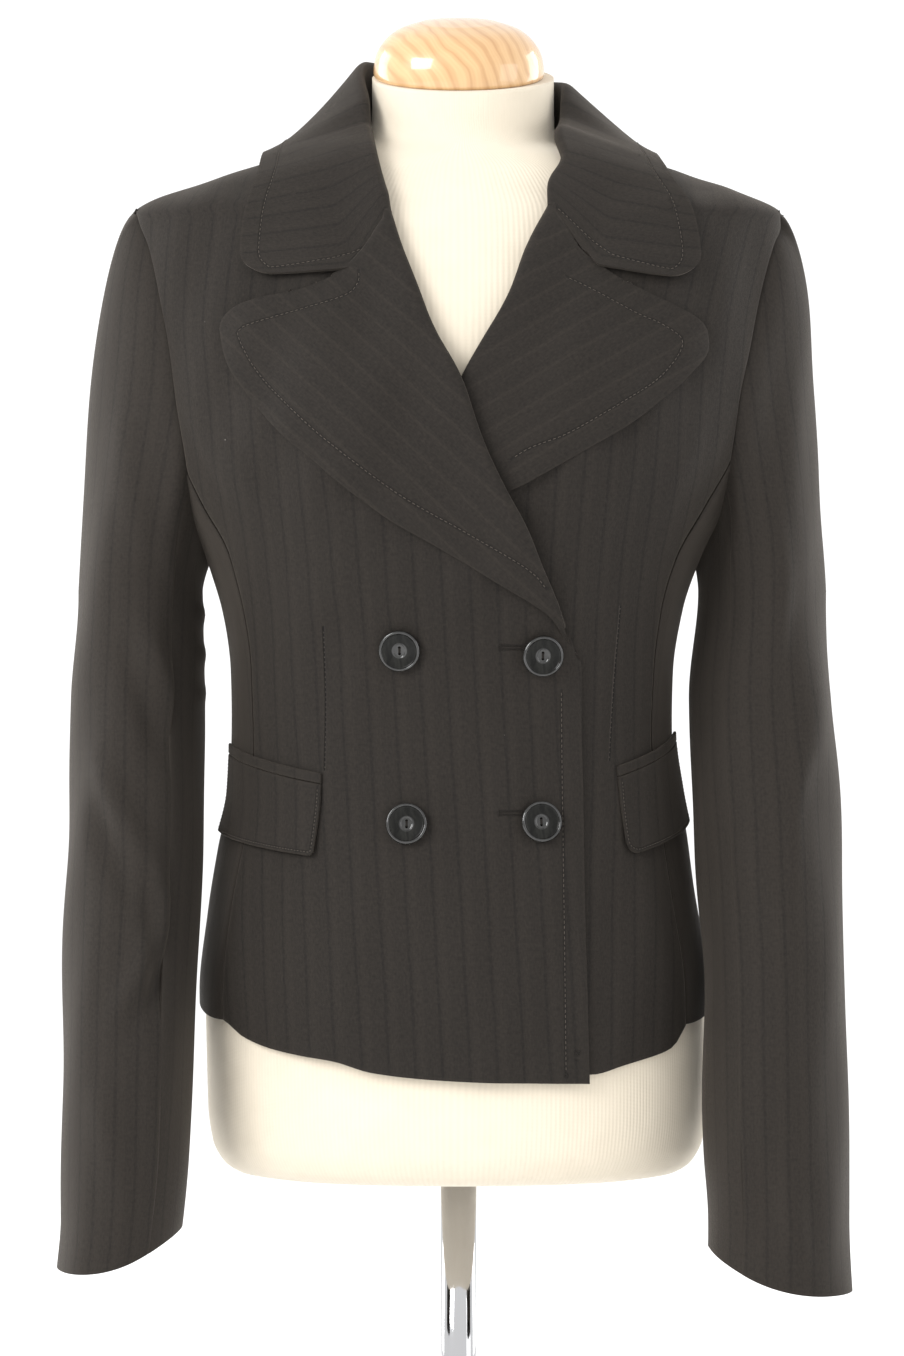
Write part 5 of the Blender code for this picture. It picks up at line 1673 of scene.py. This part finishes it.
def chrome():
    """Polished chrome with faint marks that run round."""
    metal = Finish("polished chrome", {"Metallic": 1.0})
    place = metal.place()
    x, y, z = metal.parts(place)
    marks = metal.noise(metal.join(x * 8.0, y * 8.0, z * 900.0), 1.0, 2.0)
    smears = metal.noise(place, 22.0, 3.0)
    sockets = {
        "Roughness": 0.05 + marks * 0.05 + smears.ease(0.5, 0.8) * 0.08,
        "Base Color": metal.mix(smears * 0.4, (0.55, 0.55, 0.56, 1), (0.44, 0.44, 0.45, 1)),
    }
    return metal.done(sockets)


def turned(name, profile, finish):
    """A piece turned on the pole's axis from a profile of radius and height."""
    points = [(radius, 0, z) for radius, z in profile]
    piece = new_piece(name, points, [], finish, [(i, i + 1) for i in range(len(points) - 1)])
    piece.location.x = POLE_X
    screw = piece.modifiers.new("turn", "SCREW")
    screw.steps = screw.render_steps = TURN_STEPS
    screw.use_merge_vertices = True
    screw.merge_threshold = 0.01 * MM
    screw.use_smooth_shade = True
    return piece


def rounded(middle, radius, start, end, steps=7):
    """Points of an arc, for a rounded corner of a profile."""
    angles = np.radians(np.linspace(start, end, steps))
    return [(middle[0] + radius * math.cos(a), middle[1] + radius * math.sin(a)) for a in angles]


pole_top = FORM[0][0] * MM - SEAM
pole_profile = [(0, pole_top), (POLE_RADIUS, pole_top), (POLE_RADIUS, BASE_HEIGHT), (0, BASE_HEIGHT)]
base_profile = (
    [(0, BASE_HEIGHT)]
    + rounded((BASE_RADIUS - BASE_EDGE, BASE_HEIGHT - BASE_EDGE), BASE_EDGE, 90, 0)
    + [(BASE_RADIUS, FOOT_EDGE), (BASE_RADIUS - FOOT_EDGE, 0), (0, 0)]
)
chromed = chrome()
pole = turned("chrome_pole", pole_profile, chromed)
base = turned("chrome_base", base_profile, chromed)
print("base across in mm:", round(2 * BASE_RADIUS / MM))

# %% [markdown]
# ## Stitches
#
# The edges are held by a row of small hand-like stitches, 11 mm inside the lapels and the collar and
# close to the edge of the flaps. Each stitch is a short piece of thread that rises out of the cloth
# and dips back into it. A path seen from the front is dropped on to the cloth with a ray, so the
# thread follows every fold. The cloth also learns how far each point is from the row, and its
# finish draws it in there and paints it darker, as painted shade.

# %% Rows of stitches
STITCH_PITCH, STITCH_LENGTH = 3.0 * MM, 2.0 * MM
THREAD_RADIUS = 0.26 * MM
THREAD_SIDES = 6
TWIST_PITCH = 0.35 * MM
# Rays that look for the cloth as seen from the front start at this y and go straight back.
RAY_Y, BACKWARDS = -0.4, (0.0, 1.0, 0.0)
# Faces of the cloth within this distance of a row know where it runs.
MARK_REACH = 6 * MM
FACES_AT_ONCE = 3000
# Points along a path that is seen from the front, along a sheet's free edge and along each of its ends.
PATH_STEPS, EDGE_STEPS, END_STEPS = 400, 500, 60
# A stitch's section along its length: share of the length, height over the cloth, share of the radius.
STITCH_PROFILE = (
    (0.0, -0.20, 0.5), (0.16, 0.02, 0.9), (0.5, 0.12, 1.0), (0.84, 0.02, 0.9), (1.0, -0.20, 0.5),
)
THREAD_DARK = (0.0150, 0.0120, 0.0095, 1)
THREAD_PALE = (0.1250, 0.1050, 0.0860, 1)
HOLE_PALE = (0.0110, 0.0090, 0.0074, 1)


def thread_finish(name, pale):
    """Twisted sewing thread, close to the cloth's own colour."""
    thread = Finish(name, {"Specular IOR Level": 0.2})
    place = thread.place()
    x, y, z = thread.parts(place)
    twist = (x + y * 0.6 + z).wave(TWIST_PITCH) * 0.5 + 0.5
    mottle = thread.noise(place, 700.0)
    sockets = {
        "Base Color": thread.mix(twist * 0.45 + mottle * 0.55, THREAD_DARK, pale),
        "Roughness": 0.45 + mottle * 0.2,
        "Normal": thread.bump(twist, 0.06 * MM),
    }
    return thread.done(sockets)


def spaced(path, pitch):
    """Points along a path at an even spacing."""
    reach = reach_along(path, 0)
    return places_at(np.arange(0, reach[-1], pitch), reach, path)


def seen(path):
    """A smooth path over a piece, from x, z in mm as seen from the front: rays and their direction."""
    return rays_at(*along(path, np.linspace(0, 1, PATH_STEPS)).T * MM)


def rays_at(x, z):
    """Rays that look straight back at places seen from the front, and their direction."""
    rays = np.stack([x, np.full(len(x), RAY_Y), z], axis=-1)
    return rays, np.broadcast_to(BACKWARDS, rays.shape)


def tree_of(piece):
    """A search tree over a piece as it will be rendered."""
    return BVHTree.FromObject(piece, bpy.context.evaluated_depsgraph_get())


def landed(tree, rays, way):
    """Where rays meet a piece, with the face's direction towards the ray; misses are left out."""
    places, facing = [], []
    for start, direction in zip(rays, way):
        place, normal, _, _ = tree.ray_cast(Vector(start), Vector(direction))
        if place is None:
            continue
        if normal.dot(Vector(direction)) > 0:
            normal = -normal
        places.append(place)
        facing.append(normal)
    return np.array(places), np.array(facing)


def threads(starts, ends, normals):
    """Points and faces of many short stitches between pairs of places."""
    run = ends - starts
    side = unit(np.cross(unit(run), normals))
    points = []
    for share, rise, thick in STITCH_PROFILE:
        middle = starts + run * share + normals * rise * MM
        radius = THREAD_RADIUS * thick
        for turn in np.linspace(0, 2 * math.pi, THREAD_SIDES, endpoint=False):
            points.append(middle + radius * (side * math.cos(turn) + normals * math.sin(turn)))
    one = tube_faces(len(STITCH_PROFILE), THREAD_SIDES)
    faces = []
    for first in range(0, len(starts) * len(points), len(points)):
        faces += [[first + corner for corner in face] for face in one]
    return np.stack(points, axis=1), faces


def sew(name, starts, ends, normals, finish):
    """One piece of many stitches."""
    points, faces = threads(np.array(starts), np.array(ends), np.array(normals))
    sewn.append(new_piece(name, points, faces, finish))


def mark_cloth(piece, line, facing, sharp):
    """Tells each face of a sheet how far its corners are from a row, on which side, and its kind."""
    mesh = piece.data
    place = numbers_of(mesh.vertices, "co", np.float32, 3)
    loops = numbers_of(mesh.loops, "vertex_index", np.int32, 1)[:, 0]
    corners = place[loops].reshape(-1, 4, 3)
    middle = corners.mean(axis=1)
    ahead = unit(np.gradient(line, axis=0))
    aside = np.cross(ahead, facing)
    nearest = np.zeros(len(middle), int)
    far = np.zeros(len(middle))
    for part in np.array_split(np.arange(len(middle)), max(1, len(middle) // FACES_AT_ONCE)):
        gap = np.linalg.norm(middle[part][:, None] - line[None], axis=-1)
        nearest[part] = gap.argmin(axis=1)
        far[part] = gap.min(axis=1)
    past = np.sum((middle - line[nearest]) * ahead[nearest], axis=1)
    beyond = ((nearest == 0) & (past < -MM)) | ((nearest == len(line) - 1) & (past > MM))
    near = np.flatnonzero((far < MARK_REACH) & ~beyond)
    on_line = nearest[near]
    from_line = corners[near] - line[on_line][:, None]
    layer = mesh.uv_layers["stitches"]
    kept = numbers_of(layer.data, "uv", np.float32, 2).reshape(-1, 4, 2)
    kept[near, :, 0] = np.sum(from_line * aside[on_line][:, None], axis=-1) / MM
    kept[near, :, 1] = sharp
    layer.data.foreach_set("uv", kept.ravel())


def stitch_row(name, node, rays, way, pitch=STITCH_PITCH, length=STITCH_LENGTH, under=0.0, sharp=0.0):
    """A row of stitches on a sheet along rays that fall on it; its named points lie under them."""
    line = spaced(np.hstack([rays, way]), pitch / 4)
    places, facing = landed(tree_of(made[node]), line[:, :3], line[:, 3:])
    reach = reach_along(places, 0)
    at = np.arange(pitch / 2, reach[-1] - length, pitch)
    normals = unit(places_at(at + length / 2, reach, facing))
    starts = places_at(at, reach, places)
    sew(name, starts, places_at(at + length, reach, places), normals, thread)
    mark_cloth(made[node], places - facing * under, facing, sharp)
    return len(at)


LAPEL_STITCHES = {
    "right": (
        (-56.4, 794), (-57.5, 786), (-68.4, 778), (-116.7, 764.4), (-124.7, 760.9), (-125.9, 756.3),
        (-116.7, 738.5), (-100.6, 719.6), (-74.8, 695.5), (-33.4, 664.5), (5, 642.7), (40, 622),
        (52, 610),
    ),
    "left": (
        (63, 790.2), (77.4, 783.3), (102.6, 770.1), (116.4, 764.4), (126.2, 758.6), (129.6, 754.6),
        (129, 749.4), (123.3, 740.3), (113, 729.9), (97.5, 719.6), (82.5, 710.4), (61.9, 698.9),
        (41.2, 690.9), (30, 684),
    ),
}
DARTS = {
    "right": ((-77.1, 588), (-75.9, 547), (-76.5, 506)),
    "left": ((94.6, 602), (91.1, 559), (88.3, 513)),
}
FRONT_EDGE_ROW = ((60.1, 553), (60.7, 490), (61.3, 432), (61.9, 375), (62.4, 332))

thread = thread_finish("sewing thread", THREAD_PALE)
dark_thread = thread_finish("buttonhole thread", HOLE_PALE)
sewn = []
count = 0
for side in SIDES:
    node = f"front_{side}"
    count += stitch_row(f"lapel_stitches_{side}", node, *seen(LAPEL_STITCHES[side]), under=CLOTH)
    count += stitch_row(f"dart_stitches_{side}", node, *seen(DARTS[side]), 2.9 * MM, 0.9 * MM, sharp=1.0)
count += stitch_row("front_edge_stitches", "front_right", *seen(FRONT_EDGE_ROW))
print("stitches so far:", count)

# %% [markdown]
# The collar's row goes all the way round, so it is laid on the collar's own grid: in from one end,
# along the free edge and back along the other end. The flaps' rows are laid on theirs.

# %% Stitches on the collar and the flaps
COLLAR_INSET, FLAP_INSET = 11.5 * MM, 1.9 * MM
# How far off the cloth the rays start, and how far the collar's row runs on past its ends.
RAY_START, PAST_ENDS = 12 * MM, 40 * MM


def grid_rays(grid, rows, columns):
    """Rays that fall from outside on a grid, at given fractions of its rows and columns."""
    i = np.clip(rows, 0, grid.shape[0] - 1.001)
    j = np.clip(columns, 0, grid.shape[1] - 1.001)
    place = between(grid, i, j)
    way = -outward(*place.T)
    return place - way * RAY_START, way


def carried_on(places, length):
    """A path carried on straight past both of its ends."""
    before = places[0] + unit(places[0] - places[3]) * length
    after = places[-1] + unit(places[-1] - places[-4]) * length
    return np.vstack([before, places, after])


def inset_path(grid, inset, first_column):
    """Fractions of rows and columns along three sides of a grid, an even distance inside its edge."""
    rows, columns = grid.shape[:2]
    from_edge = reach_along(grid[:, ::-1], 1)[:, ::-1]
    from_start = reach_along(grid, 0)
    from_end = reach_along(grid[::-1], 0)[::-1]
    last = np.array([np.interp(-inset, -from_edge[row], np.arange(columns)) for row in range(rows)])
    first_row = np.array([np.interp(inset, from_start[:, c], np.arange(rows)) for c in range(columns)])
    end_row = np.array([np.interp(-inset, -from_end[:, c], np.arange(rows)) for c in range(columns)])
    along_edge = np.linspace(first_row[int(last[0])], end_row[int(last[-1])], EDGE_STEPS)
    edge_columns = np.interp(along_edge, np.arange(rows), last)
    out = np.linspace(first_column, edge_columns[0], END_STEPS)
    back = np.linspace(edge_columns[-1], first_column, END_STEPS)
    out_rows = np.interp(out, np.arange(columns), first_row)
    back_rows = np.interp(back, np.arange(columns), end_row)
    return np.r_[out_rows, along_edge, back_rows], np.r_[out, edge_columns, back]


rays, way = grid_rays(collar, *inset_path(collar, COLLAR_INSET, leaf + GORGE_COLUMNS + 2))
rays = carried_on(rays, PAST_ENDS)
way = np.vstack([way[:1], way, way[-1:]])
count = stitch_row("collar_stitches", "collar", rays, way, under=CLOTH)
for side in SIDES:
    turned_flap = np.swapaxes(flaps[side], 0, 1)[:, ::-1]
    rays, way = grid_rays(turned_flap, *inset_path(turned_flap, FLAP_INSET, 2))
    count += stitch_row(f"flap_stitches_{side}", f"flap_{side}", rays, way, 2.2 * MM, 1.4 * MM)
print("stitches on collar and flaps:", count)

# %% [markdown]
# ## Buttonholes and a bar tack
#
# Two worked buttonholes show beside the outer buttons: a slit with a dense row of short threads on
# each side and across its end. Near the hem the front edge is held by a few crossed threads.

# %% Buttonholes
# Each buttonhole: x where it starts and where the button hides it, and its height, in mm.
BUTTONHOLES = ((23.8, 44.0, 577.6), (23.8, 43.0, 482.4))
HOLE_THREAD, HOLE_PITCH, SLIT = 1.7, 0.58, 0.2
# The bar tack's threads: x, z of one end and of the other, in mm.
TACK = (
    ((66, 346.5), (71, 344)), ((66.5, 343.5), (71.5, 347)), ((68, 348), (69.5, 342.5)),
    ((67, 341.5), (70, 340.5)), ((60.5, 334), (64.5, 331)), ((61, 330.5), (65, 333.5)),
    ((62.4, 335), (62.8, 329.8)),
)


def front_threads(name, pairs):
    """Threads between pairs of places on the right front."""
    places, facing = landed(tree_of(made["front_right"]), *rays_at(*np.reshape(pairs, (-1, 2)).T * MM))
    sew(name, places[::2], places[1::2], facing[::2], dark_thread)


for number, (start, end, z) in enumerate(BUTTONHOLES, 1):
    pairs = []
    for x in np.arange(start + 1.2, end, HOLE_PITCH):
        for way in (-1, 1):
            pairs.append(((x, z + way * SLIT), (x, z + way * (SLIT + HOLE_THREAD))))
    for step in np.arange(-SLIT - HOLE_THREAD, SLIT + HOLE_THREAD, HOLE_PITCH):
        pairs.append(((start - 0.6, z + step), (start + 1.1, z + step)))
    front_threads(f"buttonhole_{number}", pairs)
front_threads("hem_tack", TACK)
print("buttonholes:", len(BUTTONHOLES))

# %% [markdown]
# ## Buttons
#
# Four buttons of dark clear horn, 24 mm across, each with a thin raised rim, a dished face and a
# small eye with two holes. The disc is turned as rings of points from one profile. The holes are
# cut with a Boolean. Three strands of thread cross between them, and a short shank of thread holds
# the button off the cloth.

# %% Turned buttons
# Buttons, all on the wearer's right front: x, z in mm.
BUTTONS = {"button_1": (-33, 576), "button_2": (-29, 476), "button_3": (49, 573), "button_4": (48, 477)}
# The section of a button: radius, height over its back, in mm.
BUTTON_PROFILE = (
    (0.0, 0.0), (8.6, 0.0), (10.8, 0.55), (11.75, 1.3), (12.0, 2.1), (11.9, 2.9), (11.45, 3.55),
    (10.9, 3.8), (10.35, 3.62), (9.95, 3.0), (9.45, 2.62), (8.4, 2.45), (6.0, 2.05), (4.2, 1.85),
    (3.5, 1.78), (3.1, 1.45), (2.4, 1.28), (0.0, 1.22),
)
BUTTON_COLUMNS = 72
# The eye is taller than wide by this factor, which fades out at this radius, over this length.
EYE_STRETCH, EYE_RADIUS, EYE_EASE = 1.25, 4.6 * MM, 1.6 * MM
HOLE_RADIUS, HOLE_APART = 0.85, 1.75
# The strands through the holes: their places across and their height over the back. The shank's radius.
STRANDS, STRAND_HEIGHT, SHANK_RADIUS = (-0.42, 0.0, 0.42), 1.45, 0.7
# The cloth is felt for at this distance from a button's middle, and the button stands off it by this gap.
RESTS_ON, BUTTON_GAP = 9, 0.5 * MM
HORN_DARK = (0.0060, 0.0060, 0.0055, 1)
HORN_PALE = (0.0170, 0.0170, 0.0150, 1)


def horn():
    """Dark clear horn: glossy, with faint streaks inside."""
    values = {"Specular IOR Level": 0.12, "Coat Roughness": 0.04, "Coat IOR": 1.6}
    shell = Finish("dark horn", values)
    place = shell.place()
    x, y, z = shell.parts(place)
    drift = shell.noise(place, 130.0, 2.0)
    streak = shell.noise(shell.join(x * 420.0 + drift * 3.0, y * 90.0, z * 90.0), 1.0, 3.0)
    scuffs = shell.noise(shell.join(x * 2600.0, y * 300.0, z), 1.0)
    from_middle = (x * x + y * y).power(0.5) / MM
    glossy = from_middle.ease(9.6, 10.6) + from_middle.ease(4.8, 4.0)
    sockets = {
        "Base Color": shell.mix(streak.ease(0.35, 0.8), HORN_DARK, HORN_PALE),
        "Roughness": 0.16 + scuffs * 0.14,
        "Coat Weight": glossy * 0.9 + 0.03,
    }
    return shell.done(sockets)


def button_mesh():
    """A closed button disc with two holes; its eye is a little taller than wide."""
    profile = along(BUTTON_PROFILE[1:-1], np.linspace(0, 1, 60)) * MM
    angle = np.linspace(0, 2 * math.pi, BUTTON_COLUMNS, endpoint=False)
    rings = []
    for radius, height in profile:
        tall = 1 + (EYE_STRETCH - 1) * smooth((EYE_RADIUS - radius) / EYE_EASE) * (height > MM)
        x, z = radius * np.cos(angle), radius * tall * np.sin(angle)
        rings.append(np.stack([x, z, height + 0 * angle], axis=-1))
    disc = new_piece("button disc", rings, tube_faces(len(rings), BUTTON_COLUMNS), None)
    for way in (-1, 1):
        bpy.ops.mesh.primitive_cylinder_add(
            vertices=24, radius=HOLE_RADIUS * MM, depth=12 * MM, location=(0, way * HOLE_APART * MM, 0)
        )
        drill = bpy.context.object
        cut = disc.modifiers.new("hole", "BOOLEAN")
        cut.operation = "DIFFERENCE"
        cut.object = drill
        evaluated = disc.evaluated_get(bpy.context.evaluated_depsgraph_get())
        drilled = bpy.data.meshes.new_from_object(evaluated)
        disc.modifiers.clear()
        disc.data = drilled
        bpy.data.objects.remove(drill)
    mesh = disc.data
    mesh.materials.clear()
    bpy.data.objects.remove(disc)
    mesh.shade_smooth()
    mesh.set_sharp_from_angle(angle=math.radians(50))
    return mesh


def lay_button(name, x, z, mesh):
    """A button on the right front, square to the cloth under it, with its thread."""
    turn = np.linspace(0, 2 * math.pi, 13)[:-1]
    rays = rays_at((x + RESTS_ON * np.cos(turn)) * MM, (z + RESTS_ON * np.sin(turn)) * MM)
    places, facing = landed(tree_of(made["front_right"]), *rays)
    normal = Vector(facing.mean(axis=0)).normalized()
    middle = Vector(places.mean(axis=0))
    highest = max((Vector(place) - middle).dot(normal) for place in places)
    piece = new_object(f"horn_{name}", mesh.copy())
    piece.rotation_mode = "QUATERNION"
    piece.rotation_quaternion = normal.to_track_quat("Z", "Y")
    piece.location = middle + normal * (highest + BUTTON_GAP)
    bpy.context.view_layer.update()

    def at(across, up, out):
        return piece.matrix_world @ (Vector((across, up, out)) * MM)

    starts, ends, normals = [], [], []
    for strand in STRANDS:
        starts.append(at(strand, -HOLE_APART, STRAND_HEIGHT))
        ends.append(at(strand, HOLE_APART, STRAND_HEIGHT))
        normals.append(normal)
    for angle in turn[::2]:
        across, up = SHANK_RADIUS * math.cos(angle), SHANK_RADIUS * math.sin(angle)
        starts.append(at(across, up, -(BUTTON_GAP + highest) / MM - 0.3))
        ends.append(at(across, up, 0.4))
        normals.append(at(across, up, 0) - at(0, 0, 0))
    normals = [Vector(way).normalized() for way in normals]
    sew(f"{name}_thread", starts, ends, normals, dark_thread)
    return piece


disc_mesh = button_mesh()
disc_mesh.materials.append(horn())
buttons = {name: lay_button(name, x, z, disc_mesh) for name, (x, z) in BUTTONS.items()}
print("faces in a button:", len(disc_mesh.polygons))

# %% [markdown]
# ## Attaching the pieces
#
# Each piece rides on the frame's one body, and the solids that the pieces stand for are hidden.

for name, piece in made.items():
    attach(piece, "root")
    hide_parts(name)
for piece, node in ((form, "form_torso"), (cap, "neck_cap"), (pole, "pole"), (base, "base")):
    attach(piece, "root")
    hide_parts(node)
for node, piece in buttons.items():
    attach(piece, "root")
    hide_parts(node)
for piece in sewn:
    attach(piece, "root")

size = {
    "cad": [list(corner) for corner in cad_box],
    "visual": [list(corner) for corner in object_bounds()],
}
print("size in mm:", [round((high - low) / MM, 1) for low, high in zip(*size["visual"])])
